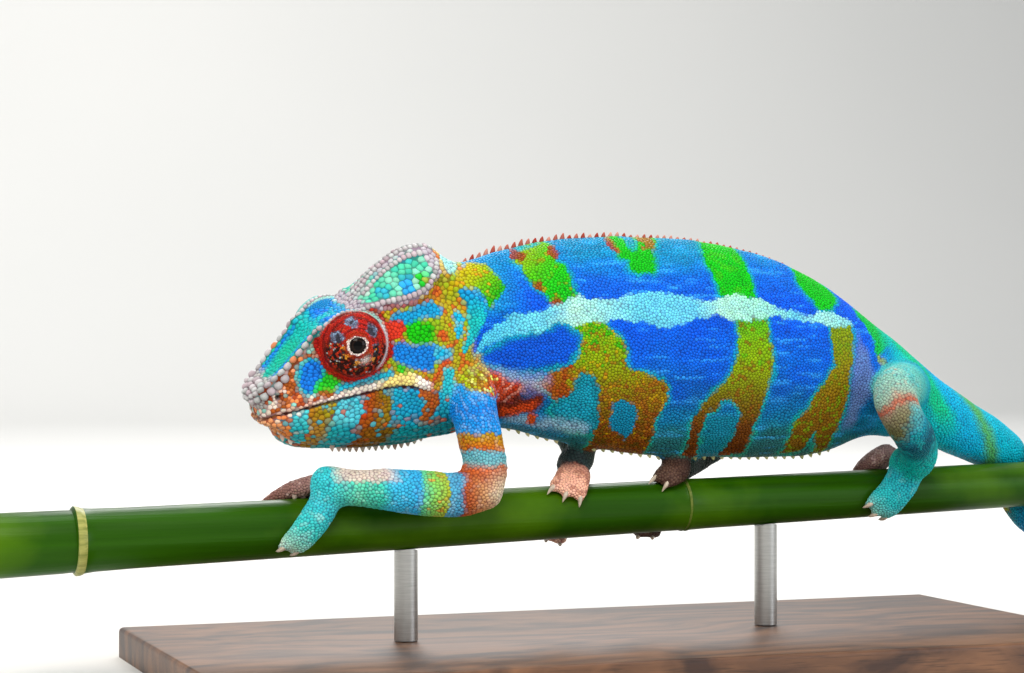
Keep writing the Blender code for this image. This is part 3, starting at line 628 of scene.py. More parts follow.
def body_colours(p):
    ragged = np.stack([noise(p, 3.2, 11) + 0.7 * noise(p, 1.3, 12), np.zeros(len(p)),
                       noise(p, 3.2, 13) + 0.7 * noise(p, 1.3, 14)], axis=1)
    x, z = (p + 0.75 * ragged)[:, [0, 2]].T
    grain, patch = noise(p, 1.5, 21), noise(p, 5.0, 22)
    fleck = noise(p, 0.75, 23)
    c = ramp(z + 2 * patch, (-31, "#306460"), (-26, "#1c7078"), (-22, "#0878a4"), (-15, "#045cb0"),
             (-8, "#0268d8"), (2, "#005ce4"), (8, "#0058e0"), (14, "#0268dc"), (18, "#047cd8"),
             (22, "#0690bc"), (26, "#0a98a8"))
    c = laid(c, "#0050d8", 0.5 * edge(patch * 4 - 1, 2) * edge(z + 16, 3))
    c = laid(c, "#0c98cc", 0.75 * window(z, 3, 40, 4) * edge(12 - x, 4))
    c = laid(c, "#068cbc", 0.85 * window(z, 15, 60, 5) * window(x, 24, 66, 6) * edge(patch * 3 + 1, 2))
    c = laid(c, "#0054d0", within(x, z, DEEP_BLUE, 0.32))
    streaks = noise(p * (0.3, 1, 1.7), 1.5, 24)
    c = laid(c, "#38a8ec", 0.4 * flecked(streaks, 1.0, 0.45) * edge(inside(x, z, DEEP_BLUE) * -1, 0.45))
    c = c * (1 + 0.16 * streaks[:, None])
    bars = (BAR_1, PATCH_2, BAR_3, BAR_4, BAR_1_LOW, BAR_3_LOW, BAR_4_LOW, SPOT_A, SPOT_B, DEEP_BLUE)
    rim = np.maximum.reduce([bell(inside(x, z, outline) + 0.2, 0.8) for outline in bars])
    c = laid(c, "#06b48c", 0.55 * rim)
    green = ramp(x - z, (-10, "#98ac00"), (-4, "#7cb000"), (2, "#48b400"), (8, "#18b804"), (16, "#06b410"))
    d = inside(x, z, BAR_1)
    c = laid(c, green, edge(d, 0.27))
    c = laid(c, "#8c9400", edge(d - 0.5, 0.27) * flecked(grain, 0.9))
    for spot, size in (((15, 21.3), 1.7), ((24.6, 21), 1.6), ((18.8, 13), 1.2), ((22.2, 8.4), 1.3),
                       ((41, 24), 1.8), ((50.8, 23), 2.2), ((70, 24), 1.6)):
        c = laid(c, "#942c08", 0.9 * disc(x - spot[0], z - spot[1], size))
    c = laid(c, "#06b40c", within(x, z, PATCH_2))
    c = laid(c, "#a0481a", 0.8 * window(x, 40.5, 42.2, 0.6) * window(z, 21, 27, 0.8))
    c = laid(c, "#a0481a", 0.8 * window(x, 48, 53.5, 0.8) * window(z, 22, 27, 0.8) * flecked(grain, -0.4))
    c = laid(c, "#04b80c", within(x, z, BAR_3))
    c = laid(c, "#3cb808", 0.6 * edge(inside(x, z, BAR_3) - 1.2, 0.36) * flecked(grain, 0.5, 0.27))
    c = laid(c, "#04b414", within(x, z, BAR_4))
    c = laid(c, "#08b448", within(x, z, BAR_5, 0.36))
    low = inside(x, z, BAR_1_LOW)
    bar = edge(low, 0.23)
    olive = ramp(z + grain, (-27, "#604404"), (-20, "#745804"), (-15, "#847400"), (-6, "#88a000"),
                 (4, "#84b400"))
    c = laid(c, olive, edge(low, 0.27))
    c = laid(c, "#3cac04", edge(low - 0.3, 0.23) * edge(fleck * 2 + z * 0.12 - 0.1, 0.27))
    c = laid(c, "#8c6404", 0.6 * bar * edge(np.hypot(x - 48, (z + 14) * 0.8) * -1 + 4.6 + fleck, 1.2))
    c = laid(c, "#b89400", bar * flecked(noise(p, 0.8, 27), 0.9, 0.18) * 0.8)
    c = laid(c, "#94580a", bar * edge(noise(p, 0.8, 29) * 2 - 0.8 - 0.03 * (z + 6), 0.18) * 0.8)
    c = laid(c, "#a02c08", (0.75 + 0.25 * fleck) * bar * edge(26 - x + fleck * 1.5, 0.45)
             * edge(-7 - z, 0.45))
    c = laid(c, "#7c3806", 0.7 * bar * edge(fleck * 2 - 0.9 - 0.06 * (z + 14), 0.23))
    c = laid(c, "#068498", within(x, z, SPOT_A))
    c = laid(c, "#109cb8", edge(inside(x, z, SPOT_A) - 1, 0.45) * 0.6)
    c = laid(c, "#0680a4", within(x, z, SPOT_B))
    low = inside(x, z, BAR_3_LOW)
    bar = edge(low, 0.23)
    olive = ramp(z + grain, (-31, "#582802"), (-23, "#683a04"), (-16, "#746804"), (-8, "#84a000"),
                 (-2, "#7cb000"), (3, "#58b008"), (5, "#28b00c"))
    c = laid(c, olive, edge(low, 0.27))
    c = laid(c, "#844406", 0.7 * bar * flecked(fleck, 0.8))
    c = laid(c, "#5cb004", 0.8 * bar * edge(noise(p, 1.0, 28) * 2 - 0.9 + 0.06 * z, 0.23))
    teal_between = window(x, 64.5, 74, 1.5) * window(z, -40, -19, 2)
    c = laid(c, "#087e94", 0.8 * teal_between * (1 - bar))
    low = inside(x, z, BAR_4_LOW)
    bar = edge(low, 0.23)
    olive = ramp(z + grain, (-31, "#6c4c08"), (-20, "#845c06"), (-10, "#8c7c04"), (0, "#7c9004"))
    c = laid(c, olive, edge(low, 0.27))
    c = laid(c, "#6c9404", bar * 0.7 * flecked(fleck, 0.5))
    c = laid(c, "#6c84b8", 0.75 * within(x, z, HIP_GREY, 1.2))
    c = laid(c, "#98a018", 0.8 * window(x, 115.5, 118, 0.8) * window(z, -11, -5, 1))
    top, bottom = np.interp(x, *np.array(STRIPE_TOP).T), np.interp(x, *np.array(STRIPE_LOW).T)
    stripe = np.minimum(top - z, z - bottom) - np.clip(x - 108, 0, 99)
    pale = ramp(x, (0, "#44c4e0"), (8, "#58d0e6"), (20, "#74dae4"), (27, "#b4f0d4"), (34, "#9ceadc"),
                (44, "#6ad6e6"), (60, "#6cd4e8"), (68, "#b0f0d0"), (82, "#9ceccc"), (90, "#64cce4"),
                (99, "#a4ecd4"), (108, "#8cdcd8"))
    c = laid(c, pale, edge(stripe + 0.3 * grain, 0.25) * (0.86 + 0.14 * fleck))
    # shoulder and armpit
    c = laid(c, "#b0c41c", within(x, z, SHOULDER, 1.2))
    c = laid(c, "#d87a24", within(x, z, SHOULDER, 1.2) * flecked(fleck, 0.4, 0.27))
    low = z + 0.12 * (x - 10)
    haze = ramp(low, (-14, "#b47c74"), (-12, "#a8a0ac"), (-10, "#94acc8"), (-8, "#4c80d0"))
    c = laid(c, haze, window(x, 4, 22, 4) * window(low, -14.5, -7.2, 1.6) * (0.8 + 0.4 * fleck))
    fold = window(x, 0, 14.5, 1.2) * edge(-8.6 - 0.32 * (x - 3) - z, 0.8)
    fold = fold * edge(z + 17.4 - 0.2 * (x - 8), 0.6)
    fan = np.arctan2(z + 24, x - 1)
    c = laid(c, "#b43414", fold)
    c = laid(c, "#cc4c24", fold * edge(np.sin(fan * 46 + grain) + 0.3, 0.5))
    c = laid(c, "#d89c8c", 0.8 * fold * edge(np.sin(fan * 46 + grain) - 0.6, 0.4) * edge(x - 6, 2))
    # painted shadow: a near-black patch in the hollow of the armpit
    c = laid(c, "#2c1414", 0.9 * bell(np.hypot((x - 13.5) * 0.36, z + 15.6 - 0.1 * (x - 13)), 1.3))
    c = laid(c, "#6c2410", window(x, 4, 20, 1.5) * window(z - 0.2 * (x - 14), -20.6, -15.4, 0.8))
    c = laid(c, "#cc4414", window(x, 9.5, 19, 1.5) * window(z - 0.2 * (x - 14), -20.2, -16.6, 0.8)
             * flecked(fleck, -0.9, 0.4))
    c = laid(c, "#9cc4dc", window(x, 11, 34, 2) * bell(z + 21.4 + (x - 15) * 0.12, 1.2) * 0.75)
    c = laid(c, "#d0501c", disc(x - 18.4, z + 20.8, 1.4, 0.3))
    # the throat side of the neck carries on the head's orange and cyan
    c = laid(c, "#b8a020", 0.8 * edge(0.5 - x, 1.2) * window(z, -4, 12, 2))
    c = laid(c, ramp(z + grain, (-26, "#1aa4b0"), (-15, "#b45a20"), (-6, "#c8682a")),
             0.85 * edge(0.8 - x, 1.4) * (z < -4))
    # tail base: green and olive rings on blue-green
    wave = p[:, 0] + 0.55 * (p[:, 2] + 12)
    rear = edge(p[:, 0] - 0.1 * p[:, 2] - 120, 3)
    c = laid(c, ramp(wave, (112, "#049cbc"), (126, "#04b8bc"), (136, "#04a8d4"), (150, "#06b4cc")), rear)
    for place, wide, code, foot in ((119, 3.0, "#08b06c", -20), (131.5, 3.2, "#04bc74", -24),
                                    (145.0, 2.4, "#54a83c", -99)):
        c = laid(c, code, 0.85 * rear * edge(wide - np.abs(wave - place) + grain, 1.6)
                 * edge(p[:, 2] - foot, 4))
    return c


def neck_colours(c, p):
    """Laid over body and head alike where they meet."""
    x, z = p[:, 0] + 0.6 * noise(p, 2.6, 15), p[:, 2] + 0.6 * noise(p, 2.6, 16)
    fleck = noise(p, 1.1, 23)
    nape = ramp(x - (z - 13), (-9, "#c49404"), (-3, "#b8ac00"), (1, "#a4b800"), (5, "#64b400"),
                (9, "#24ac04"))
    c = laid(c, nape, within(x, z, NAPE, 0.32))
    c = laid(c, "#dc8a18", within(x, z, NAPE, 0.32) * flecked(fleck, 0.9) * 0.7)
    return laid(c, ramp(z, (-4, "#10b0c0"), (4, "#14c0bc"), (11, "#0c98d4")), within(x, z, NECK_STRIP))


CASQUE = [(-29, 12.4), (-25.2, 17.8), (-20.2, 21.6), (-16.2, 24), (-12.5, 24), (-11, 21), (-12, 17.6),
          (-15.6, 15.4), (-20.2, 14), (-26, 12.6)]
CASQUE_LINE = [(-24.3, 11.4), (-16, 12.6), (-11, 14), (-9, 18.8)]
CHEEK = [([(-23.5, 7.3), (-21.5, 10), (-16.6, 11.4), (-12, 12.8), (-8.2, 11), (-8.8, 9.2), (-11.8, 9),
           (-15.5, 8.2), (-17.6, 6.7), (-20.4, 6.7)], "#0c98cc", 0.5),
         ([(-20, 6.7), (-16, 8.5), (-11.5, 7.5), (-10.7, 3.8), (-13, 2.3), (-17, 3), (-19.6, 4.5)],
          "#14bc00", 0.5),
         ([(-22.6, 1.4), (-21.5, 3), (-16, 2.6), (-10.7, 2.3), (-10.6, -1.4), (-11.4, -4), (-16, -3.6),
           (-18.3, -3.3), (-21.3, -1.6)], "#0c7cd4", 0.5),
         ([(-10.7, 2), (-6, 1.5), (-6.4, -1.5), (-10.6, -1.8)], "#18b4dc", 0.5)]
MUZZLE = [([(-45.3, -4), (-42.4, -1.4), (-38, -1.8), (-37.8, -5.4), (-39.2, -8.6), (-43, -11.2),
            (-45.2, -9.6)], "#1cb0b8", 0.6),
          ([(-44.5, -4.2), (-42.4, -2.2), (-39, -2.6), (-38.6, -5.1), (-39.8, -7.7), (-43, -10.4),
            (-44.3, -9)], "#1078e0", 0.4),
          ([(-41.2, -9.4), (-39.5, -6.4), (-37.8, -4.2), (-35, -6), (-34.6, -7.6), (-37, -9)], "#20c020",
           0.5),
          ([(-35, -6.9), (-31.6, -6.2), (-26, -3.9), (-23, -3.7), (-21.5, -4.8), (-24.7, -6.3),
            (-32.3, -8.3), (-36, -9.5)], "#20b8d4", 0.5),
          ([(-21, -2.4), (-18.7, -3.2), (-19, -4.4), (-21, -4)], "#30c020", 0.4)]


def head_colours(p):
    ragged = noise(p, 2.4, 31), noise(p, 2.4, 32)
    x = p[:, 0] + 0.55 * ragged[0] + 0.3 * noise(p, 1.0, 33)
    z = p[:, 2] + 0.55 * ragged[1] + 0.3 * noise(p, 1.0, 34)
    grain, fleck, patch = noise(p, 1.4, 35), noise(p, 1.0, 36), noise(p, 3.6, 37)
    c = ramp(z, (-12, "#b86a28"), (-4, "#a89a18"), (4, "#a4a814"), (12, "#b4a018"), (17, "#c0a41c"),
             (20, "#c8b060"))
    c = laid(c, "#d0501c", flecked(fleck, 0.6) * 0.8)
    c = laid(c, "#7cb814", flecked(patch, 0.4, 0.27) * 0.7)
    # crown and scoop of the snout
    ridge = z - np.interp(x, (-55, -48, -41, -35, -29, -24, -17, -12, -9),
                          (-10, -5, 3.2, 7.2, 10.6, 12, 13.4, 17, 20))
    crest_y = np.interp(x, (-56.6, -55.5, -53.5, -50, -42, -36, -30), (1.8, 4.2, 5.6, 6.3, 7.4, 8.5, 9.2))
    scoop = np.maximum(edge(crest_y + p[:, 1] - 0.3, 0.18) * edge(ridge + 6, 0.36) * (x < -27),
                       edge(ridge, 0.27))
    crown = ramp(x + 1.2 * patch, (-57, "#b89c9c"), (-51, "#a4aca8"), (-50, "#18b4a0"), (-45, "#08b890"),
                 (-40, "#08aca8"), (-33, "#10a4c4"), (-29, "#6cbcb4"), (-26, "#a0b4b0"), (-12, "#a4a0a8"),
                 (-9, "#b8a880"))
    c = laid(c, crown, scoop * edge(-8.6 - x, 0.36))
    inner = scoop * edge(crest_y + p[:, 1] - 1.6, 0.36)
    c = laid(c, "#0c6cdc", inner * window(x, -51, -41, 1.5) * bell(crest_y + p[:, 1] - 1.6, 1.5))
    c = laid(c, "#0c78e0", inner * window(x, -38.5, -31, 1.5) * flecked(patch, -0.2))
    c = laid(c, "#b4acb4", edge(inside(x, z, CASQUE) + 3.4, 0.27) * edge(ridge + 1.2, 0.23)
             * edge(-8.8 - x, 0.27) * (x > -31))
    casque = within(x, z, CASQUE, 0.36)
    c = laid(c, ramp(patch + grain * 0.6, (-0.6, "#b8d0c4"), (-0.2, "#78d0b0"), (0.3, "#3cc098"),
                     (0.8, "#28a4bc")), casque)
    c = laid(c, "#1cbc2c", casque * disc(x + 14.5, z - 17.6, 1.6))
    c = laid(c, "#28a0e0", casque * disc(x + 18, z - 16.2, 1.8))
    c = laid(c, "#a8b040", casque * disc(x + 12.4, z - 17.4, 1.3))
    c = laid(c, "#9c3024", 0.85 * bell(beside(x, z, CASQUE_LINE), 0.5) * edge(grain + 0.6, 0.23))
    c = laid(c, "#d8501c", bell(np.hypot(x + 9.2, z - 14.5), 1.6))
    # cheek
    for outline, code, soft in CHEEK:
        c = laid(c, code, within(x, z, outline, soft))
    c = laid(c, "#d04818", 0.9 * disc(x + 8.8, z - 4.5, 1.4))
    c = laid(c, "#16b6dc", edge(1.5 - np.minimum(np.hypot(x + 3.9, z - 8.7), np.hypot(x + 4.2, z - 5.5)),
                                0.27))
    c = laid(c, "#c8481c", bell(beside(x, z, [(-16, -8.8), (-12, -7.8), (-10, -5.5), (-7.3, -1.8)]), 1.1))
    # muzzle
    muzzle = edge(-33 - x, 2) * edge(np.interp(x, (-55, -48, -41, -35), (-10, -5, 3.2, 7.2)) - z, 0.36)
    muzzle = muzzle * (1 - scoop)
    c = laid(c, "#a03c18", muzzle * 0.9)
    c = laid(c, "#e88a50", muzzle * flecked(fleck, 0.5))
    c = laid(c, "#e4d4c4", muzzle * edge(grain * 2 - 0.75 - 0.05 * (x + 47), 0.18))
    c = laid(c, "#88c4b8", muzzle * edge(noise(p, 1.1, 39) * 2 - 1.0 - 0.06 * (x + 46), 0.18))
    for outline, code, soft in MUZZLE:
        c = laid(c, code, within(x, z, outline, soft))
    # folds of the eye's surround
    ahead, eye, _ = into_turret(p)
    surround = np.interp(p[:, 2] - EYE_BASE[2], (-8, -3, 3), (9.2, 9.7, 10.1)) - eye + 0.7 * patch
    surround = edge(surround, 0.27) * edge(ahead + 4, 0.45) * (scoop < 0.3)
    c = laid(c, "#b01c10", surround)
    c = laid(c, "#d4481c", 0.8 * surround * flecked(noise(p, 0.7, 40), 0.7))
    c = laid(c, "#5c100c", 0.6 * surround * flecked(-noise(p, 0.7, 49), 0.7))
    c = laid(c, "#d0341c", edge(2.3 - np.hypot(x + 21.6, z - 5.8) + 1.4 * patch + 0.6 * grain, 0.27))
    # ivory upper lip, and the lower jaw in bands
    level = p[:, 2] - np.interp(p[:, 0], *np.array(MOUTH).T)
    half = np.interp(p[:, 0], (-54, -46, -38, -30, -24, -17, -12), (0.5, 0.55, 0.7, 1.0, 1.15, 1.75, 1.3))
    lip_band = edge(half - np.abs(level - half) + 0.2 * grain, 0.18) * window(p[:, 0], -54, -11, 1.5)
    c = laid(c, ramp(x, (-52, "#e8c8b8"), (-44, "#e8b8a0"), (-38, "#f2e2d4"), (-27, "#f4ead8"),
                     (-23, "#f2dc80"), (-17, "#f0de84"), (-14, "#f6f0e4")), lip_band)
    jaw = edge(-level + 0.2, 0.18) * window(p[:, 0], -60, -6.5, 1.5)
    jaw = jaw + edge(-10 - p[:, 2], 0.45) * edge(p[:, 0] + 10, 2)
    bands = ramp(x + 1.2 * ragged[0] + 0.10 * (z + 15), (-53, "#e89060"), (-47, "#e07838"),
                 (-46.4, "#48c4d0"), (-41.8, "#4cccd4"), (-41.2, "#b47014"), (-36.8, "#988c14"),
                 (-36.2, "#64d0dc"), (-29.6, "#50c8dc"), (-29, "#c84410"), (-26.4, "#a8540c"),
                 (-22.2, "#8c7a10"), (-21.6, "#18a4c8"), (-13.6, "#1094c0"), (-13, "#b0601c"),
                 (-9.0, "#a04c18"), (-8.2, "#18a4c0"), (0, "#1c98a8"))
    deep = ramp(x + 1.5 * ragged[1], (-52, "#e0a878"), (-46, "#d87c38"), (-45.2, "#30b4bc"),
                (-41.5, "#2cb0b4"), (-40.5, "#a87830"), (-37.5, "#a07828"), (-36, "#20a4a8"),
                (-28.6, "#1494a8"), (-27.8, "#94480c"), (-24.5, "#8c5c0c"), (-19.5, "#785c10"),
                (-18.6, "#0c9ca4"), (-6, "#149ca8"), (0, "#1898a8"))
    bands = laid(bands, deep, edge(-17.5 - z, 1.6))
    bands = laid(bands, "#18a8b8", flecked(fleck, 1.0, 0.18) * 0.8)
    bands = laid(bands, "#f0dcc8", flecked(noise(p, 1.2, 38), 1.0, 0.18) * edge(-44 - x, 1.5))
    bands = laid(bands, "#c8561c", flecked(grain, 1.2, 0.18) * 0.8)
    c = laid(c, bands, jaw)
    # painted shade: a dark line in the seam of the mouth, where the jaws meet
    c = laid(c, "#38140c", bell(level, 0.36) * window(p[:, 0], -58, -12, 2))
    # painted shade: a near-black spot in the hollow of the nostril
    c = laid(c, "#1c0c08", bell(np.hypot(p[:, 0] - NOSTRIL[0], p[:, 2] - NOSTRIL[1]), 0.75))
    c = laid(c, "#2cc0cc", window(x, -8.6, -4.6, 0.8) * window(z, -11, -3, 1.0))
    c = laid(c, "#9cdcd8", window(x, -7.5, -2.2, 0.8) * window(z, 19, 30, 1))
    return c


def turret_colours(p, right):
    along, radius, angle = into_turret(p)
    grain, fleck = noise(p, 1.2, 41), noise(p, 0.8, 42)
    c = laid(np.tile(rgb("#b41c10"), (len(p), 1)), "#8c1408", noise(p, 2.4, 47) * 1.2)
    c = laid(c, "#4c0c08", 0.75 * edge(np.sin(2 * math.pi * radius / 1.25 + grain) - 0.5, 0.3))
    c = laid(c, "#c84424", flecked(noise(p, 0.6, 48), 1.0, 0.3) * 0.7)
    lobes = np.zeros(len(p))
    for way, far, wide in ((2.8, 5.2, 1.5), (1.85, 5.6, 1.35), (0.8, 5.0, 1.6), (-0.15, 4.6, 1.3),
                           (3.65, 5.4, 1.5)):
        gap = np.hypot(radius * np.cos(angle) - far * np.cos(way),
                       radius * np.sin(angle) - far * np.sin(way))
        lobes = np.maximum(lobes, edge(wide + 0.5 * grain - gap, 0.14))
    c = laid(c, "#5c7088", 0.9 * lobes)
    c = laid(c, "#181010", 0.8 * lobes * flecked(noise(p, 0.6, 43), -0.1, 0.18))
    c = laid(c, "#7c94b0", lobes * flecked(noise(p, 0.6, 46), 0.6, 0.18))
    # The lower half of the turret is painted near-black as painted shade under the dome; the red, gold and
    # grey specks on it are its own colour.
    below = edge(-np.sin(angle) * 6 + 0.2 + grain, 0.45) * window(radius, 2.6, 7.9, 0.6)
    c = laid(c, "#1a0c08", 0.94 * below)
    c = laid(c, "#b02c10", below * edge(noise(p, 0.6, 44) * 2 - 0.5 + 0.12 * radius - 0.5, 0.14))
    c = laid(c, "#c88424", below * edge(fleck * 2 - 1.0 + 0.3 * (4.6 - radius), 0.18))
    c = laid(c, "#a8b0b0", below * flecked(noise(p, 0.5, 45), 1.25, 0.14))
    c = laid(c, "#dcd8d0", 0.9 * bell(np.hypot(radius - 4.0, (angle + 1.0) * 3), 0.9))
    c = laid(c, "#a83010", 0.8 * bell(radius - 3.0, 0.45))
    c = laid(c, "#f6eadc", edge(2.5 + 0.35 * grain - radius, 0.07))
    c = laid(c, "#241210", edge(1.68 - radius, 0.05))
    brow_height, brow_start = (6.2, 0.35) if right else (2.2, 0.45)
    brow = edge(brow_height - along, 0.36) * edge(np.sin(angle) - brow_start, 0.09)
    c = laid(c, ramp(radius, (6, "#20a8b8"), (8.2, "#98ccc0")), brow)
    c = laid(c, "#0c84c4", edge(p[:, 1] + 7.6, 0.3))
    # painted highlight: a pale sheen along the rear rim of the turret
    c = laid(c, "#d8dce0", 0.8 * window(radius, 7.4, 9.0, 0.5) * edge(np.cos(angle) - 0.75, 0.07))
    return c


def arm_colours(like, p, at):
    """Bands by the place on the left arm that a point is like."""
    z, x = like[:, 2] + 0.8 * noise(p, 2.5, 51), like[:, 0] + 0.9 * noise(p, 2.5, 52)
    grain, fleck = noise(p, 1.3, 53), noise(p, 0.9, 54)
    upper = ramp(z, (-41, "#d8b088"), (-38, "#c87840"), (-34, "#b05018"), (-32, "#c8581c"),
                 (-31, "#68b0b8"), (-28.4, "#58a8b8"), (-27.6, "#c06414"), (-24.4, "#b08c0c"),
                 (-23.8, "#1890dc"), (-18, "#0c80dc"), (-13, "#1898dc"))
    lower = ramp(x, (-36, "#38c4cc"), (-30, "#60cca8"), (-25, "#3cc4ac"), (-22.4, "#3cbce0"),
                 (-15.5, "#34a8dc"), (-14.6, "#5cc894"), (-12, "#80c85c"), (-9.0, "#a4b430"),
                 (-8.4, "#50a8cc"), (-5.4, "#4c98c0"), (-4.2, "#a84418"), (0, "#c07838"))
    shoulder = ramp(x - 0.4 * z, (3, "#a8c010"), (7, "#b89818"), (9.5, "#d8541c"), (14, "#c83c18"))
    shoulder = laid(shoulder, "#d8e060", flecked(fleck, 0.9, 0.18))
    shoulder = laid(shoulder, "#7c3010", 0.7 * edge(np.sin(x * 2.6 + z * 1.4) - 0.4, 0.23))
    upper = laid(upper, shoulder, edge(z + 14.0 + 0.25 * (x - 3), 0.36))
    fore = edge(at - 0.43, 0.01)
    c = laid(upper, lower, fore)
    c = laid(c, "#d8702c", 0.6 * fore * window(x, -14, -8, 1) * flecked(fleck, 0.9, 0.18))
    banded = window(z, -40, -31.5, 0.8) + window(z, -27.8, -23.8, 0.4)
    c = laid(c, "#b04c18", (1 - fore) * banded * flecked(fleck, 0.8, 0.18) * 0.8)
    c = laid(c, "#90b8e8", (1 - fore) * window(z, -23.8, -12, 0.5)
             * edge(np.sin(x * 3.4 + z * 1.2 + 2 * grain) - 0.7, 0.3) * 0.35)
    c = laid(c, "#e0c4b8", fore * window(x, -36, -20, 3) * edge(like[:, 2] + 35.4 + 0.6 * grain, 0.36)
             * 0.85)
    c = laid(c, "#d8d0b4", 0.85 * bell(np.hypot(like[:, 0] - 5.5, like[:, 2] + 38.5), 5.0))
    return laid(c, "#e8f0ec", 0.1 * flecked(grain, 0.9))


def leg_colours(p, at):
    grain, fleck = noise(p, 1.3, 61), noise(p, 0.9, 62)
    at = at + 0.02 * noise(p, 3.0, 63)
    c = ramp(at, (0, "#1094b0"), (0.16, "#24a8b0"), (0.25, "#4cb4ac"), (0.31, "#6cb8ac"), (0.40, "#88b8a8"),
             (0.46, "#a0a890"), (0.5, "#5ca8a8"), (0.55, "#148ca0"), (0.62, "#045468"), (0.7, "#087078"),
             (0.76, "#08b0ac"), (1, "#10bcac"))
    # Front of the knee and shin: beige and olive skin that darkens down the shin into painted shade.
    shin_skin_and_shade = ramp(at, (0.44, "#b8a898"), (0.48, "#8c8468"), (0.55, "#585c30"), (0.64, "#2c5048"),
                  (0.7, "#0c7078"))
    c = laid(c, shin_skin_and_shade, window(at, 0.455, 0.7, 0.02) * edge(114 - p[:, 0] + grain, 1.6))
    c = laid(c, "#b84c30", 0.8 * bell(at - 0.46 + 0.008 * grain, 0.014) * edge(118 - p[:, 0], 1.5))
    c = laid(c, "#c89078", flecked(fleck, 1.1) * window(at, 0.3, 0.44, 0.05) * 0.6)
    c = laid(c, "#48b8b8", flecked(grain, 0.5) * window(at, 0.2, 0.42, 0.08) * 0.7)
    return laid(c, "#14989c", flecked(-grain, 0.9, 0.18) * window(at, 0.52, 1.2, 0.05) * 0.8)


def toe_colours(p, outer, left, travel):
    grain = noise(p, 1.2, 71)
    # the far hand and foot: salmon-pink toes that begin dark brown at the root, carrying on the painted
    # shade of the far wrist and ankle
    if not left:
        return laid(ramp(travel, (0, "#4c3430"), (2, "#b07c68"), (5, "#ecb094"), (16, "#f4c8b0")),
                    "#a06450", 0.7 * flecked(grain, 0.6))
    if not outer:
        return laid(ramp(travel, (0, "#a8847c"), (10, "#8c6258"), (18, "#7c5248")), "#c0a098",
                    flecked(grain, 0.7))
    c = ramp(travel, (0, "#5cc4c4"), (5, "#34b8c4"), (11, "#3cc4bc"), (15, "#90d0bc"), (18, "#d0d0bc"))
    return laid(c, "#98dcd4", flecked(grain, 0.9, 0.4) * 0.6)


def tail_colours(p, travel):
    grain, wobble = noise(p, 1.3, 81), travel + 1.2 * noise(p, 3.0, 82)
    c = ramp(np.mod(wobble, 17.0), (0, "#0c9cb0"), (5, "#0488c0"), (7.4, "#0c94b0"), (8, "#6c9c20"),
             (12, "#24a03c"), (14.6, "#88901c"), (15.2, "#0c8c94"), (17, "#0c9cb0"))
    c = laid(c, "#b4701c", flecked(grain, 0.9, 0.18) * window(np.mod(wobble, 17.0), 8, 15.6, 1))
    return laid(c, "#0a6c84", 0.5 * flecked(-grain, 0.7))


def colours(points, weights):
    """The painted colour at each point of the skin, blended between regions."""
    total, seen = np.zeros((len(points), 3)), np.zeros(len(points))
    body, head = into_body(points), into_head(points)
    for column, name in enumerate(REGION_NAMES):
        here = np.where(weights[:, column] > 0.02)[0]
        if not len(here):
            continue
        if name == "head":
            made = head_colours(head[here])
        elif name.startswith("turret"):
            made = turret_colours(head[here], name.endswith("right"))
        elif name == "body":
            made = body_colours(body[here])
        else:
            at, travel, _ = along_and_around(points[here] / MM, LINES[name])
            if name.startswith("arm"):
                left_arm = LINES["arm_left"] - NECK
                along_left = np.stack([np.interp(at, np.linspace(0, 1, LINE_POINTS), left_arm[:, k])
                                       for k in range(3)], axis=1)
                made = arm_colours(along_left if name.endswith("right") else body[here], body[here], at)
            elif name.startswith("leg"):
                made = leg_colours(body[here], at)
            elif name == "tail":
                made = tail_colours(body[here], travel)
            else:
                made = toe_colours(body[here], name.startswith("outer"), name.endswith("left"), travel)
                # painted shade: the far foot is laid over with near-black brown at half strength or more,
                # most on the side toward the animal's left
                if name.endswith("foot_right"):
                    made = laid(made, "#281c16", 0.5 + 0.4 * edge(8 - body[here, 1], 4))
                if name == "outer_foot_left":
                    made = laid(made, "#04b0bc", 0.55 * edge(15 - travel, 3))
            # Painted shade on the far (right) arm and leg: their inner and under faces are laid over with
            # dark brown, nearly black at the wrist and ankle, as these limbs lie in shadow; the real inner
            # skin is only a duller brown.
            if name in ("arm_right", "leg_right"):
                last = LINE_POINTS - 1
                off = points[here] / MM - LINES[name][np.clip((at * last).round().astype(int), 0, last)]
                wrist = edge(at - 0.8, 0.05)
                under = np.where(at < 0.5, -1.2 * off[:, 2] - 0.5,
                                 0.8 - 1.2 * off[:, 1] - 0.3 * off[:, 2] + wrist * (1.8 - 0.9 * off[:, 0]))
                made = laid(made, ramp(at, (0.7, "#48342a"), (0.8, "#2c1e16")),
                            (0.72 + 0.22 * wrist) * edge(under, 1.4))
        weight = weights[here, column] ** 2
        total[here] += made * weight[:, None]
        seen[here] += weight
    total /= np.maximum(seen, 1e-6)[:, None]
    neck = np.where((np.abs(body[:, 0] - 2) < 12)
                    & (region("head", weights) + region("body", weights) > 0.5))[0]
    total[neck] = neck_colours(total[neck], body[neck])
    return total


BETWEEN_SCALES = (0.52, 0.42, 0.5)  # share of its colour that the hide shows in the furrows
points = points_of(skin_mesh)
skin_colours = colours(points, share)


def coloured(mesh, rows):
    layer = mesh.color_attributes.new("tint", "FLOAT_COLOR", "POINT")
    layer.data.foreach_set("color", np.hstack((rows, np.ones((len(rows), 1)))).astype(np.float32).ravel())


coloured(skin_mesh, skin_colours * BETWEEN_SCALES)


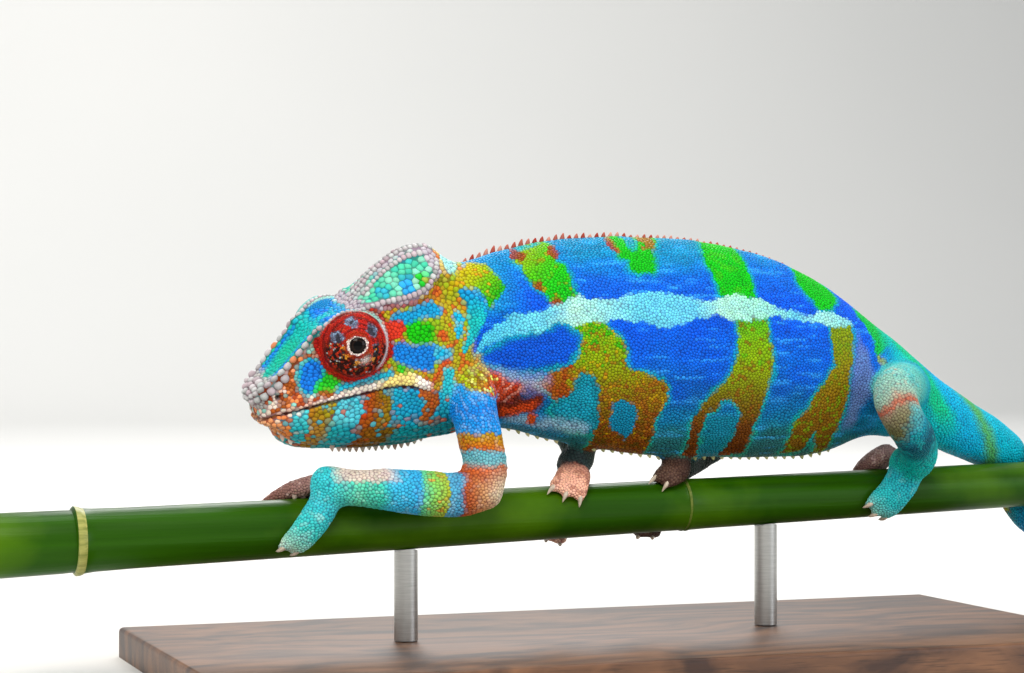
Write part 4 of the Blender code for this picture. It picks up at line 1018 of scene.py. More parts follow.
def hide_material(name, roughness, bump):
    """Thin glaze over painted resin: the paint comes from the tint attribute, with a fine tooth."""
    made, tree, shader = material(name)
    paint = node(tree, "ShaderNodeVertexColor", {"layer_name": "tint"})
    where = node(tree, "ShaderNodeTexCoord")
    tooth = node(tree, "ShaderNodeTexNoise", Vector=(where, "Object"), Scale=2600.0, Detail=3.0)
    cloud = node(tree, "ShaderNodeTexNoise", Vector=(where, "Object"), Scale=420.0, Detail=2.0)
    level = node(tree, "ShaderNodeMapRange", Value=(cloud, "Fac"), From_Min=0.3, From_Max=0.7, To_Min=0.88,
                 To_Max=1.1)
    shaded = node(tree, "ShaderNodeHueSaturation", Value=(level, "Result"), Color=(paint, "Color"))
    bumped = node(tree, "ShaderNodeBump", Height=(tooth, "Fac"), Strength=bump, Distance=0.0001)
    feed(tree, shader, Base_Color=(shaded, "Color"), Normal=(bumped, "Normal"), Roughness=roughness,
         IOR=1.42, Specular_IOR_Level=0.15)
    return made


skin_mesh.shade_smooth()
skin_mesh.materials.clear()
skin_mesh.materials.append(hide_material("painted_hide_in_the_furrows", 0.5, 0.35))
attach(skin, "root")
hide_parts(*FLESH)


# ---------------------------------------------------------------- coat of scales
# Granular scales stand side by side over the whole hide: fine on the eyelids, toes and face, pea-like
# on the flanks, flat plates on the casque and cone-shaped tubercles along the crests of the snout.
# Each is a low dome whose rim meets its neighbours halfway, pressed into one sheet of resin.
# Each scale is painted darker at its foot as shade and lighter at its top, partly a pale centre and partly
# a painted highlight.

SPACING = {"head": 0.84, "turret_left": 0.41, "turret_right": 0.41, "body": 0.67, "tail": 0.8}
STRETCH = np.array((0.86, 1.05, 1.05))  # distances are measured so, which makes scales longer than tall
CRESTS = [(-55.6, -4.0, -11.4), (-53.5, -5.8, -9.4), (-51.5, -6.4, -7.6), (-48, -6.9, -3.8),
          (-44, -7.5, 1.4), (-40, -8.2, 6.8), (-37.5, -8.7, 8.8), (-34, -9.2, 10.2), (-30, -9.6, 11.2),
          (-24, -9.9, 12.9), (-17.5, -9.6, 14.3), (-13, -9.2, 16.4), (-10.6, -7.6, 19.6),
          (-9.2, -5.5, 23.0)]
CROWN = [(-30, -0.9, 11.5), (-28.4, -0.9, 13.4), (-24.8, -0.9, 18.7), (-20.6, -0.9, 22.6),
         (-16.8, -0.9, 24.8), (-12.9, -0.9, 25.8), (-9.5, -0.9, 25.3)]
CRESTS_LOW = [(-55.8, -2.6, -13.4), (-54.2, -4.9, -12.2), (-52.2, -6.2, -10.6), (-50, -6.7, -8.8),
              (-47.6, -7.2, -6.2)]
SNOUT = [(-57.2, -0.9, -13.4), (-56.4, -1.1, -11.4), (-54.8, -1.2, -9.6), (-53.4, -1.2, -8.6)]
SNOUT_SIDE = [(-56.4, -2.7, -12.4), (-55.2, -2.9, -10.4), (-53.6, -3.4, -8.9)]
CROWN_LOW = [(-27.5, -3.6, 13.6), (-24.8, -3.4, 16.8), (-20.6, -3.0, 20.4), (-16.8, -2.8, 22.8),
             (-12.9, -2.9, 24.0)]
rng = np.random.default_rng(20)
points, out = points_of(skin_mesh), points_of(skin_mesh, normals=True)
body, head = into_body(points), into_head(points)
fineness = 1.0
wanted = np.zeros(len(points))
for column, name in enumerate(REGION_NAMES):
    size = SPACING.get(name, 0.71 if name[:3] in ("arm", "leg") else 0.62)
    wanted += share[:, column] * size
wanted /= share.sum(1)
wanted *= 1 + 0.16 * noise(body, 5.0, 91)
crown_line = np.interp(head[:, 0], (-55, -41, -29), (-10, 3, 11))
wanted += region("head", share) * (0.34 * edge(inside(head[:, 0], head[:, 2], CASQUE), 1.5)
                                   + 0.3 * window(head[:, 2], -40, -13, 2)
                                   + 0.25 * edge(head[:, 2] - crown_line, 1))
_, tail_travel, _ = along_and_around(points / MM, LINES["tail"])
wanted -= region("tail", share) * 0.4 * np.clip(tail_travel / 150, 0, 1)
wanted *= fineness

skin_mesh.calc_loop_triangles()
corners = np.empty(len(skin_mesh.loop_triangles) * 3, np.int32)
skin_mesh.loop_triangles.foreach_get("vertices", corners)
corners = corners.reshape(-1, 3)
surface = BVHTree.FromPolygons([Vector(p) for p in points], corners.tolist())


def shares_at(places, triangle):
    """Barycentric shares of each place in its triangle."""
    a, b, c = (points[corners[triangle, k]] for k in range(3))
    u, v, w = b - a, c - a, places - a
    uu, uv, vv, wu, wv = ((m * n).sum(1) for m, n in ((u, u), (u, v), (v, v), (w, u), (w, v)))
    below = np.maximum(uu * vv - uv * uv, 1e-30)
    s = np.clip((vv * wu - uv * wv) / below, 0, 1)
    t = np.clip((uu * wv - uv * wu) / below, 0, 1)
    return np.stack((np.clip(1 - s - t, 0, 1), s, t), axis=1)


def spread(values, triangle, shares):
    picked = values[corners[triangle]]
    return (picked * (shares if values.ndim == 1 else shares[..., None])).sum(1)


def onto_skin(places):
    found = [surface.find_nearest(place) for place in places]
    triangle = np.array([hit[2] for hit in found])
    return np.array([hit[0] for hit in found]), triangle


def tree_of(places):
    tree = KDTree(len(places))
    for i, place in enumerate(places * STRETCH):
        tree.insert(place, i)
    tree.balance()
    return tree


# Tubercles first, then all the others between them.
seeds, seed_size = [], []
TUBERCLE_AT = (-57, -53, -47, -42, -38, -31, -28, -14, -8)  # along the head
TUBERCLE_SIZE = (2.1, 2.5, 2.3, 1.8, 1.3, 1.0, 1.35, 1.5, 1.3)
TUBERCLE_LINES = ((CRESTS, 1.0), (CRESTS_LOW, 0.95), (SNOUT, 0.9), (SNOUT_SIDE, 0.9), (CROWN, 0.95),
                  (CROWN_LOW, 0.9))
for line, wider in TUBERCLE_LINES:
    rows = even_line(line, 400)
    step = np.linalg.norm(rows[1] - rows[0])
    for side in (1, -1):
        t = 0.0
        while t < len(rows) - 1:
            size = wider * np.interp(rows[int(t)][0], TUBERCLE_AT, TUBERCLE_SIZE) * rng.uniform(0.92, 1.1)
            seeds.append(head_to_world(rows[int(t)] * (1, side, 1)) * MM)
            seed_size.append(size)
            t += size / step
seeds, seed_triangle = onto_skin(seeds)
seed_size = np.array(seed_size)
seed_tree = tree_of(seeds)

HEXAGON = 0.866  # area that a scale takes when packed among six, for a spacing of 1
a, b, c = (points[corners[:, k]] for k in range(3))
area = np.linalg.norm(np.cross(b - a, c - a), axis=1) / 2
per_triangle = wanted[corners].mean(1) * MM
expected = area / (HEXAGON * per_triangle**2)
total = int(expected.sum())
running = np.cumsum(expected)
roots, sizes, root_triangle = np.empty((0, 3)), np.empty(0), np.empty(0, int)
THROWS, THROWN, PACKING, CLEARANCE = 12, 0.42, 0.86, 0.46  # shares of the number wanted and of the size
for _ in range(THROWS):
    picked = np.searchsorted(running, rng.random(int(total * THROWN)) * running[-1])
    s, t = rng.random(len(picked)), rng.random(len(picked))
    flip = s + t > 1
    s[flip], t[flip] = 1 - s[flip], 1 - t[flip]
    places = a[picked] + (b - a)[picked] * s[:, None] + (c - a)[picked] * t[:, None]
    reach = per_triangle[picked]
    keep = np.ones(len(picked), bool)
    standing = tree_of(roots) if len(roots) else None
    for i, place in enumerate(places * STRETCH):
        _, j, distance = seed_tree.find(place)
        if distance < CLEARANCE * (seed_size[j] * MM + reach[i]):
            keep[i] = False
        elif standing and standing.find(place)[2] < PACKING * reach[i]:
            keep[i] = False
    places, reach, picked = places[keep], reach[keep], picked[keep]
    fresh = tree_of(places)
    keep = np.ones(len(places), bool)
    for i, place in enumerate(places * STRETCH):
        if keep[i]:
            for _, j, _ in fresh.find_range(place, PACKING * reach[i]):
                if j > i:
                    keep[j] = False
    roots = np.vstack((roots, places[keep]))
    sizes = np.append(sizes, reach[keep])
    root_triangle = np.append(root_triangle, picked[keep])
n_seeds = len(seeds)
roots = np.vstack((seeds, roots))
sizes = np.append(seed_size * MM, sizes)
root_triangle = np.append(seed_triangle, root_triangle)

# Neighbours that stand too close push one another apart, and the tubercles hardly give way.
NEIGHBOURS, SETTLINGS, ROOM, GIVE, TUBERCLE_GIVE = 10, 5, 1.04, 0.3, 0.1
for settling in range(SETTLINGS + 1):
    standing = tree_of(roots)
    found = [standing.find_n(place, NEIGHBOURS + 1) for place in roots * STRETCH]
    beside_it = np.array([[hit[1] for hit in row[1:]] for row in found])
    if settling == SETTLINGS:
        break
    off = (roots[:, None] - roots[beside_it]) * STRETCH
    distance = np.linalg.norm(off, axis=2) + 1e-9
    rest = (sizes[:, None] + sizes[beside_it]) / 2 * ROOM
    shift = (off / distance[..., None] * np.clip(rest - distance, 0, None)[..., None] * GIVE).sum(1)
    shift[:n_seeds] *= TUBERCLE_GIVE
    roots, root_triangle = onto_skin(roots + shift / STRETCH)

root_shares = shares_at(roots, root_triangle)
facing = spread(out, root_triangle, root_shares)
facing /= np.linalg.norm(facing, axis=1, keepdims=True)
root_weights = spread(share, root_triangle, root_shares)
root_colours = colours(roots, root_weights)
jitter = rng.normal(1.0, 0.06, (len(roots), 1)) * (1 + rng.normal(0, 0.02, (len(roots), 3)))
root_colours = np.clip(root_colours * jitter, 0, 1)
tubercle = np.tile(rgb("#b49ea6"), (n_seeds, 1))
tubercle = laid(tubercle, "#b4c0bc", rng.random(n_seeds) * 0.8)
tubercle = laid(tubercle, "#d8804c", 0.9 * (np.abs(into_head(seeds)[:, 0] + 46.0) < 1.0))
root_colours[:n_seeds] = tubercle * rng.normal(1.0, 0.08, (n_seeds, 1))

side = np.cross(facing, np.array((0.31, 0.92, 0.24)))
side /= np.linalg.norm(side, axis=1, keepdims=True)
rise = np.cross(facing, side)
off = roots[beside_it] - roots[:, None]
flat = np.stack(((off * side[:, None]).sum(2), (off * rise[:, None]).sum(2)), axis=2)
portion = sizes[:, None] / (sizes[:, None] + sizes[beside_it])
distance = np.linalg.norm(flat, axis=2) + 1e-9


BAKE_SPOT = 0.0015  # half the width that one scale takes on its bake map


def dome_faces(around, levels):
    """Corners of a dome's faces in one row, and where in it each face starts."""
    faces = []
    for level in range(levels - 1):
        for k in range(around):
            j = (k + 1) % around
            low, high = level * around, (level + 1) * around
            faces.append([low + k, low + j, high + j, high + k])
    top = (levels - 1) * around
    faces += [[top + k, top + (k + 1) % around, levels * around] for k in range(around)]
    return np.concatenate(faces), np.cumsum([0] + [len(face) for face in faces[:-1]])


def scale_mesh(members, around, rings, tall, roundness=0.07):
    """One joined mesh of domes; rings are (share of the reach, share of the height, painted light as a
    share of the colour).
    """
    first_side = rng.uniform(0, 2 * math.pi, len(members))[:, None]
    turn = first_side + np.linspace(0, 2 * math.pi, around, endpoint=False)
    ray = np.stack((np.cos(turn), np.sin(turn)), axis=2)
    cosine = np.einsum("nak,njk->naj", ray, flat[members]) / distance[members][:, None]
    meet = (distance * portion)[members][:, None] / np.maximum(cosine, 0.15)
    reach = np.minimum(np.where(cosine > 0.15, meet, 1), 0.85 * sizes[members][:, None, None]).min(2)
    middling = np.median(reach, axis=1, keepdims=True)
    reach = np.minimum((1 - roundness) * reach + roundness * middling, 1.06 * reach) * 0.99
    height = tall * sizes[members] * rng.uniform(0.85, 1.15, len(members))
    world_ray = ray[..., :1] * side[members][:, None] + ray[..., 1:] * rise[members][:, None]
    rim = roots[members][:, None] + world_ray * reach[..., None]
    drop = onto_skin(rim.reshape(-1, 3))[0].reshape(rim.shape) - rim
    rows, tints, spots = [], [], []
    for wide, high, painted_light in rings:
        rows.append(roots[members][:, None] + world_ray * (reach * wide)[..., None] + drop * wide**2
                    + (facing[members] * (height * high)[:, None])[:, None])
        tints.append(np.repeat(root_colours[members][:, None] * painted_light, around, axis=1))
        spots.append(ray * BAKE_SPOT * wide)
    # the top is painted brightest: the scale's pale centre and a painted highlight
    rows.append((roots[members] + facing[members] * height[:, None])[:, None])
    tints.append(root_colours[members][:, None] * 1.1)
    spots.append(np.zeros((len(members), 1, 2)))
    places, tint = np.concatenate(rows, axis=1), np.concatenate(tints, axis=1)
    spot = np.concatenate(spots, axis=1) + bake_place[members][:, None]
    pattern, starts = dome_faces(around, len(rings))
    order = np.arange(len(members))[:, None]
    loops = (order * (around * len(rings) + 1) + pattern).ravel()
    starts = (order * len(pattern) + starts).ravel()
    return places.reshape(-1, 3), tint.reshape(-1, 3), spot.reshape(-1, 2), loops, starts


def joined(name, groups):
    """Writes one mesh object from sets of (places, tints, bake places, face corners, face starts)."""
    mesh = bpy.data.meshes.new(name)
    places, tints, spots, loops, starts = (list(kind) for kind in zip(*groups))
    for i in range(1, len(groups)):
        loops[i] = loops[i] + sum(len(rows) for rows in places[:i])
        starts[i] = starts[i] + sum(len(rows) for rows in loops[:i])
    places, tints, spots, loops, starts = map(np.concatenate, (places, tints, spots, loops, starts))
    mesh.vertices.add(len(places))
    mesh.vertices.foreach_set("co", places.astype(np.float32).ravel())
    mesh.loops.add(len(loops))
    mesh.loops.foreach_set("vertex_index", loops.astype(np.int32))
    mesh.polygons.add(len(starts))
    mesh.polygons.foreach_set("loop_start", starts.astype(np.int32))
    mesh.update(calc_edges=True)
    mesh.validate()
    coloured(mesh, np.clip(tints, 0, 1))
    layer = mesh.uv_layers.new(name="OFBake")
    layer.uv.foreach_set("vector", spots[loops].astype(np.float32).ravel())
    mesh.shade_smooth()
    obj = bpy.data.objects.new(name, mesh)
    scene.collection.objects.link(obj)
    return obj


# Where each root falls when the hide is unwrapped: along and round its own region, in that region's tile.
body_root = into_body(roots)
nearest_region = root_weights.argmax(1)
bake_place = np.zeros((len(roots), 2))
COAT = {
    "scales_head": ("head",), "scales_eyelids": ("turret_left", "turret_right"),
    "scales_trunk_left": ("body",), "scales_trunk_right": ("body",),
    "scales_loin_left": ("body",), "scales_loin_right": ("body",),
    "scales_arms": ("arm_left", "arm_right"), "scales_legs": ("leg_left", "leg_right"),
    "scales_hands": [name for name in TOE_BUNDLES if "hand" in name],
    "scales_feet": [name for name in TOE_BUNDLES if "foot" in name],
    "scales_tail": ("tail",)}
lids_local = (roots / MM - HEAD_PIVOT) @ HEAD_TURN
for names in COAT.values():
    for tile, name in enumerate(names):
        here = np.where(nearest_region == REGION_NAMES.index(name))[0]
        if name.startswith("turret"):
            along, radius, angle = into_turret(lids_local[here]
                                               * (1, -1 if name.endswith("right") else 1, 1))
            outward = (11.5 - np.clip(along, 0, 8)) / 12 + radius / 40
            flat_uv = np.stack((0.5 + 0.3 * outward * np.cos(angle), 0.5 + 0.3 * outward * np.sin(angle)),
                               axis=1)
        else:
            at, _, angle = along_and_around(roots[here] / MM, LINES[name])
            flat_uv = np.stack((0.01 + 0.98 * at, 0.01 + 0.98 * (angle / (2 * math.pi) + 0.5)), axis=1)
        bake_place[here] = np.clip((flat_uv + (0, tile)) / (1, len(names)), 0.002, 0.998)

# the last number of each ring is painted light: dark at the foot as painted shade, light towards the top as
# a pale centre and a painted highlight
DOME = ((1.0, -0.2, 0.68), (0.85, 0.66, 0.97))
PEARL = ((1.0, -0.25, 0.5), (0.9, 0.42, 0.86), (0.58, 0.84, 1.03))
DOME_SIDES, PEARL_SIDES = 8, 12
FLAT, RAISED, PEARL_HEIGHT, PEARL_ROUNDNESS = 0.14, 0.19, 0.36, 0.75  # heights as shares of the size
coat_material = hide_material("glazed_resin_scales", 0.44, 0.25)
is_seed = np.arange(len(roots)) < n_seeds
TRUNK_END = 54.0  # the coat of the trunk is in two lengths
for name, names in COAT.items():
    mine = np.isin(nearest_region, [REGION_NAMES.index(n) for n in names]) & ~is_seed
    if names == ("body",):
        mine &= (body_root[:, 1] < 0) == name.endswith("left")
        mine &= (body_root[:, 0] > TRUNK_END) == name.startswith("scales_loin")
    groups = [scale_mesh(np.where(mine)[0], DOME_SIDES, DOME, FLAT if name == "scales_head" else RAISED)]
    if name == "scales_head":
        pearls = np.where(is_seed)[0]
        groups.append(scale_mesh(pearls, PEARL_SIDES, PEARL, PEARL_HEIGHT, PEARL_ROUNDNESS))
    piece = joined(name, groups)
    piece.data.materials.append(coat_material)
    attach(piece, "root")


# ---------------------------------------------------------------- crests of cones
# Rows of soft spikes, one scale wide, set into the hide: pinkish red down the back, smallest at the
# loins, and ivory under the throat and along the belly. Each is cast in resin and leans to the tail.

CONE_SIDES = 8


def cone_row(name, feet, tall, wide, lean, codes):
    """Cones at feet (place, outward direction), each leaning by a share of its height."""
    feet = [foot for foot in feet if foot[0] is not None]
    # each level is (share of the width, share of the height, painted light): darker at the foot as painted
    # shade, lighter up to the tip as a painted highlight
    levels = ((1.1, -0.25, 0.6), (0.98, 0.1, 0.85), (0.66, 0.55, 1.0), (0.28, 0.9, 1.08))
    pattern, starts_of_one = dome_faces(CONE_SIDES, len(levels))
    places, tints, spots, loops, starts = [], [], [], [], []
    pale, deep = (rgb(code) for code in codes)
    for i, (foot, outward) in enumerate(feet):
        foot, outward = np.array(foot), np.array(outward) / np.linalg.norm(outward)
        back = np.array(lean) - outward * np.dot(lean, outward)
        across = np.cross(outward, back)
        across /= np.linalg.norm(across)
        onward = np.cross(across, outward)
        height, half = tall(i / len(feet)) * rng.uniform(0.7, 1.15) * MM, wide(i / len(feet)) / 2 * MM
        colour = pale + (deep - pale) * rng.random()
        loops += (len(places) + pattern).tolist()
        starts += (i * len(pattern) + starts_of_one).tolist()
        spot = np.array(((i + 0.5) / len(feet), 0.5))
        for share_wide, high, painted_light in levels:
            middle = foot + outward * height * high + back * height * high * high
            for a in np.linspace(0, 2 * math.pi, CONE_SIDES, endpoint=False):
                places.append(middle + half * share_wide
                              * (across * math.cos(a) + onward * 1.15 * math.sin(a)))
                tints.append(colour * painted_light)
                spots.append(spot + 0.8 * BAKE_SPOT * share_wide * np.array((math.cos(a), math.sin(a))))
        # the tip is painted brightest, a painted highlight
        places.append(foot + outward * height + back * height)
        tints.append(colour * 1.15)
        spots.append(spot)
    made = joined(name, [[np.array(rows) for rows in (places, tints, spots, loops, starts)]])
    made.data.materials.append(coat_material)
    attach(made, "root")


def foot_on_skin(start, direction):
    hit = surface.ray_cast(Vector(start * MM), Vector(direction))
    return hit[0], -np.array(direction)


back_feet = [foot_on_skin(NECK + (x, 0, 60), (0, 0, -1)) for x in np.arange(2.5, 92, 1.9)]
cone_row("crest_back", back_feet, lambda t: 2.1 - 1.15 * min(1, t * 1.7) - 0.55 * max(0, t - 0.6) / 0.4,
         lambda t: 1.4 - 0.6 * t, (0.2, 0, 0), ("#c08878", "#982814"))
throat_feet = []
for x in np.concatenate([np.arange(-46, -30, 2.3), np.arange(-30, -7, 1.75)]):
    off_middle = np.interp(x, (-46, -33, -27), (-3.4, -2.6, 0))  # forked under the chin
    throat_feet.append(foot_on_skin(head_to_world((x, off_middle, -60)), HEAD_TURN @ (0, 0, 1)))
cone_row("crest_throat", throat_feet, lambda t: 1.75 - 0.5 * t, lambda t: 1.2, (0.15, 0, 0),
         ("#f0e4d8", "#e0b8a8"))
belly_feet = [foot_on_skin(NECK + (x, 0, -80), (0, 0, 1)) for x in np.arange(4, 106, 2.6)]
cone_row("crest_belly", belly_feet, lambda t: 0.95, lambda t: 1.2, (0.3, 0, 0), ("#ece4b4", "#b4b47c"))


# ---------------------------------------------------------------- claws
# One hooked claw of pale horn stands at the end of every toe, cast separately in tinted resin and
# glued into its socket. They press on the stem's bark.

TOE_ROOT, TOE_END, TOE_SPREAD = 3.0, 1.9, 2.2


def toe_end(bundle, k):
    """Where a toe ends, the way it points and the way to the stem's middle."""
    (x0, a0), (x1, a1), count = bundle
    root = TOE_ROOT if count == 2 else TOE_ROOT - 0.4
    reach = stem_radius(x1) + 0.75 * root
    arc = math.radians(a1 - a0) * reach
    length = math.hypot(x1 - x0, arc)
    offset = k - (count - 1) / 2
    shorter = 0.07 * abs(offset) if count == 3 else 0.06 * (k == 0)
    ends = []
    for t in (0.857, 1.0):
        s, ending = t * (1 - shorter), (t - 0.6) / 0.4
        spread_by = offset * (TOE_SPREAD + 1.2 * ending)
        x = x0 + (x1 - x0) * s - arc / length * spread_by
        angle = a0 + math.degrees((arc * s + (x1 - x0) / length * spread_by) / reach)
        radius = root + (TOE_END - root) * (0.35 * t + 0.65 * ending)
        ends.append(round_stem(x, angle, reach + 2.6 * math.exp(-t * 5) - 0.75 * (root - radius)))
    tip = ends[1]
    onward = (tip - ends[0]) / np.linalg.norm(tip - ends[0])
    inward = np.array((0, -tip[1], stem_z(tip[0]) - tip[2]))
    return tip, onward, inward / np.linalg.norm(inward)


CLAW_SIDES = 10
CLAW_RINGS = ((0.2, -0.3, 0.95), (1.3, -0.35, 0.85), (2.1, -0.2, 0.62), (2.8, 0.2, 0.36),
              (3.15, 0.62, 0.08))


def ring_faces(work, near, far):
    """A band of faces between two rings."""
    for i in range(len(near)):
        j = (i + 1) % len(near)
        work.faces.new((near[i], near[j], far[j], far[i]))


claw_work = bmesh.new()
for bundle in TOE_BUNDLES.values():
    for k in range(bundle[2]):
        tip, onward, inward = toe_end(bundle, k)
        across = np.cross(onward, inward)
        rings = []
        for go, dip, half in CLAW_RINGS:
            middle = tip + onward * go + inward * dip
            ring = []
            for a in np.linspace(0, 2 * math.pi, CLAW_SIDES, endpoint=False):
                spoke = across * math.cos(a) * 0.75 + inward * math.sin(a)
                ring.append(claw_work.verts.new((middle + half * spoke) * MM))
            rings.append(ring)
        for near, far in zip(rings, rings[1:]):
            ring_faces(claw_work, near, far)
        claw_work.faces.new(rings[-1])
        claw_work.faces.new(rings[0][::-1])
bmesh.ops.recalc_face_normals(claw_work, faces=claw_work.faces)
claws = object_from(claw_work, "claws")
claws.data.shade_smooth()
# Resin tinted like horn and polished a little: milky brown streaks and a small bright highlight.
horn, tree, shader = material("tinted_resin_horn")
horn_where = node(tree, "ShaderNodeTexCoord")
horn_grain = node(tree, "ShaderNodeTexNoise", Vector=(horn_where, "Object"), Scale=700.0, Detail=4.0)
horn_colour = node(tree, "ShaderNodeMix", COLOUR_MIX, i0=(horn_grain, "Fac"), i6=linear("#8c7460"),
                   i7=linear("#e0d4c0"))
feed(tree, shader, Base_Color=(horn_colour, 2), Roughness=0.28)
claws.data.materials.append(horn)
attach(claws, "root")


# ---------------------------------------------------------------- eyeballs
# Each eye is a polished glass ball behind the lids: only the black pupil and a dark iris with a
# thin brown ring show through the small opening. Clear glass lies over the painted colours.

EYEBALL_RADIUS, EYE_FRONT = 3.4, 8.15
for side_name, flip in (("left", 1), ("right", -1)):
    look = HEAD_TURN @ (EYE_LOOK * (1, flip, 1))
    middle = head_to_world(EYE_BASE * (1, flip, 1)) + look * (EYE_FRONT - EYEBALL_RADIUS)
    bpy.ops.object.select_all(action="DESELECT")
    bpy.ops.mesh.primitive_uv_sphere_add(segments=64, ring_count=40, radius=EYEBALL_RADIUS * MM)
    eye = bpy.context.object
    eye.name = eye.data.name = f"glass_eye_{side_name}"
    bpy.ops.object.mode_set(mode="EDIT")
    bpy.ops.mesh.select_all(action="DESELECT")
    ball = bmesh.from_edit_mesh(eye.data)
    for vert in ball.verts:
        vert.select = vert.co.z < -0.2 * MM
    ball.select_flush(True)
    bpy.ops.mesh.delete(type="VERT")
    bpy.ops.object.mode_set(mode="OBJECT")
    turned = Vector(look).to_track_quat("Z", "Y").to_matrix().to_4x4()
    eye.matrix_world = Matrix.Translation(Vector(middle) * MM) @ turned
    bpy.ops.object.transform_apply(location=True, rotation=True, scale=True)
    eye_points = points_of(eye.data) / MM - middle
    from_axis = np.linalg.norm(eye_points - (eye_points @ look)[:, None] * look, axis=1)
    around_axis = noise(eye_points, 0.35, 7)
    iris = ramp(from_axis, (0, "#010101"), (1.24, "#010101"), (1.32, "#28180e"), (1.4, "#0a0503"),
                (1.6, "#070302"), (1.9, "#120804"), (2.6, "#0c0603"))
    coloured(eye.data, iris * (1 + 0.25 * around_axis[:, None] * (from_axis[:, None] > 1.25)))
    eye.data.shade_smooth()
    # Polished glass over paint: a hard bright highlight on a nearly black eye.
    glass, tree, shader = material(f"glass_over_painted_iris_{side_name}")
    iris_paint = node(tree, "ShaderNodeVertexColor", {"layer_name": "tint"})
    feed(tree, shader, Base_Color=(iris_paint, "Color"), Roughness=0.03, IOR=1.3, Specular_IOR_Level=0.3)
    eye.data.materials.append(glass)
    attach(eye, "root")
    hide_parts(f"eyeball_{side_name}")


# ---------------------------------------------------------------- perch
# A cut length of young green cane, about as thick as a thumb: straight fibres under a waxy bark, a
# worn ring where a leaf stood, a split yellowish collar at one end and two clean saw cuts.

STEM_START, STEM_END, COLLAR_X, NODE_X = -164.0, 162.0, -141.0, 18.0
COLLAR = [(STEM_START, 0), (STEM_START, 7.2), (-163.7, 7.6), (-160, 7.85), (-152, 7.75), (-144.5, 7.65),
          (-141.9, 7.6), (-141.7, 8.1), (-141.3, 8.6), (-140.4, 8.55), (-139.8, 8.3), (-139.4, 8.0)]
BARK = [(-137, 0.15), (-128, 0), (-100, 0), (-70, 0), (-40, 0), (-10, 0), (12, 0), (16.2, 0), (17.0, 0.25),
        (17.5, -0.1), (18.1, 0.3), (19.3, 0.1), (24, 0), (50, 0), (80, 0), (110, 0), (140, 0), (161.2, 0),
        (161.8, -0.3)]  # how far the bark stands out from the even taper
profile = COLLAR + [(x, stem_radius(int(x)) + proud) for x, proud in BARK] + [(STEM_END, 0)]
stem_work = bmesh.new()
chain = [stem_work.verts.new((along * MM, 0, radius * MM)) for along, radius in profile]
for near, far in zip(chain, chain[1:]):
    stem_work.edges.new((near, far))
stem = object_from(stem_work, "green_cane")
turn = stem.modifiers.new("turn", "SCREW")
turn.axis, turn.steps, turn.render_steps = "X", 96, 96
turn.use_merge_vertices, turn.merge_threshold, turn.use_normal_flip = True, 0.00001, True
select_only(stem)
bpy.ops.object.modifier_apply(modifier="turn")
lift = Matrix.Translation((0, 0, STEM_HEIGHT * MM))
stem.matrix_world = lift @ Matrix.Rotation(-math.atan(STEM_RISE), 4, "Y")
bpy.ops.object.transform_apply(location=True, rotation=True, scale=True)
stem_points = points_of(stem.data) / MM
middle_z = stem_z(stem_points[:, 0])
spoke = stem_points - np.stack((stem_points[:, 0], np.zeros(len(stem_points)), middle_z), axis=1)
far_out = np.linalg.norm(spoke, axis=1)
angle = np.arctan2(spoke[:, 2], spoke[:, 1])
ring_points = np.stack((stem_points[:, 0] / 9, 3 * np.cos(angle), 3 * np.sin(angle)), axis=1)
change = -0.05 - 0.05 * np.abs(noise(ring_points, 1.2, 4)) * (far_out > 4)
lip_part = bell(stem_points[:, 0] - COLLAR_X - 0.4, 1.2) * (far_out > 4)
change -= lip_part * 0.35 * (0.5 + 0.5 * noise(ring_points, 2.2, 6))
stem_points += spoke / np.maximum(far_out, 0.1)[:, None] * change[:, None]
move_points(stem.data, stem_points * MM)
bpy.ops.object.shade_smooth_by_angle(angle=math.radians(40))
# Living bark under wax: fine straight fibres, lighter clouds and a soft sheen along the top.
bark, tree, shader = material("waxy_green_bark")
bark_where = node(tree, "ShaderNodeTexCoord")
along_fibre = node(tree, "ShaderNodeMapping", Vector=(bark_where, "Object"), Scale=(0.025, 1.0, 1.0))
fibres = node(tree, "ShaderNodeTexNoise", Vector=(along_fibre, "Vector"), Scale=1500.0, Detail=3.0)
streaks = node(tree, "ShaderNodeTexNoise", Vector=(along_fibre, "Vector"), Scale=330.0, Detail=3.0)
clouds = node(tree, "ShaderNodeTexNoise", Vector=(bark_where, "Object"), Scale=32.0, Detail=4.0)
bark_mix = node(tree, "ShaderNodeMix", COLOUR_MIX, i0=(streaks, "Fac"), i6=linear("#102c00"),
                i7=linear("#2c5c00"))
bark_patches = node(tree, "ShaderNodeMapRange", Value=(clouds, "Fac"), From_Min=0.45, From_Max=0.75)
bark_warm = node(tree, "ShaderNodeMix", COLOUR_MIX, i0=(bark_patches, "Result"), i6=(bark_mix, "Result"),
                 i7=linear("#4c7404"))
split = node(tree, "ShaderNodeSeparateXYZ", Vector=(bark_where, "Object"))
near_collar = node(tree, "ShaderNodeMath", {"operation": "COMPARE"}, i0=(split, "X"),
                   i1=COLLAR_X * MM + 0.0006, i2=0.0011)
near_node = node(tree, "ShaderNodeMath", {"operation": "COMPARE"}, i0=(split, "X"), i1=NODE_X * MM - 0.0004,
                 i2=0.0003)
faint_node = node(tree, "ShaderNodeMath", {"operation": "MULTIPLY"}, i0=(near_node, "Value"), i1=0.35)
dry = node(tree, "ShaderNodeMath", {"operation": "MAXIMUM"}, i0=(near_collar, "Value"),
           i1=(faint_node, "Value"))
dry_soft = node(tree, "ShaderNodeMath", {"operation": "MULTIPLY"}, i0=(dry, "Value"), i1=(fibres, "Fac"))
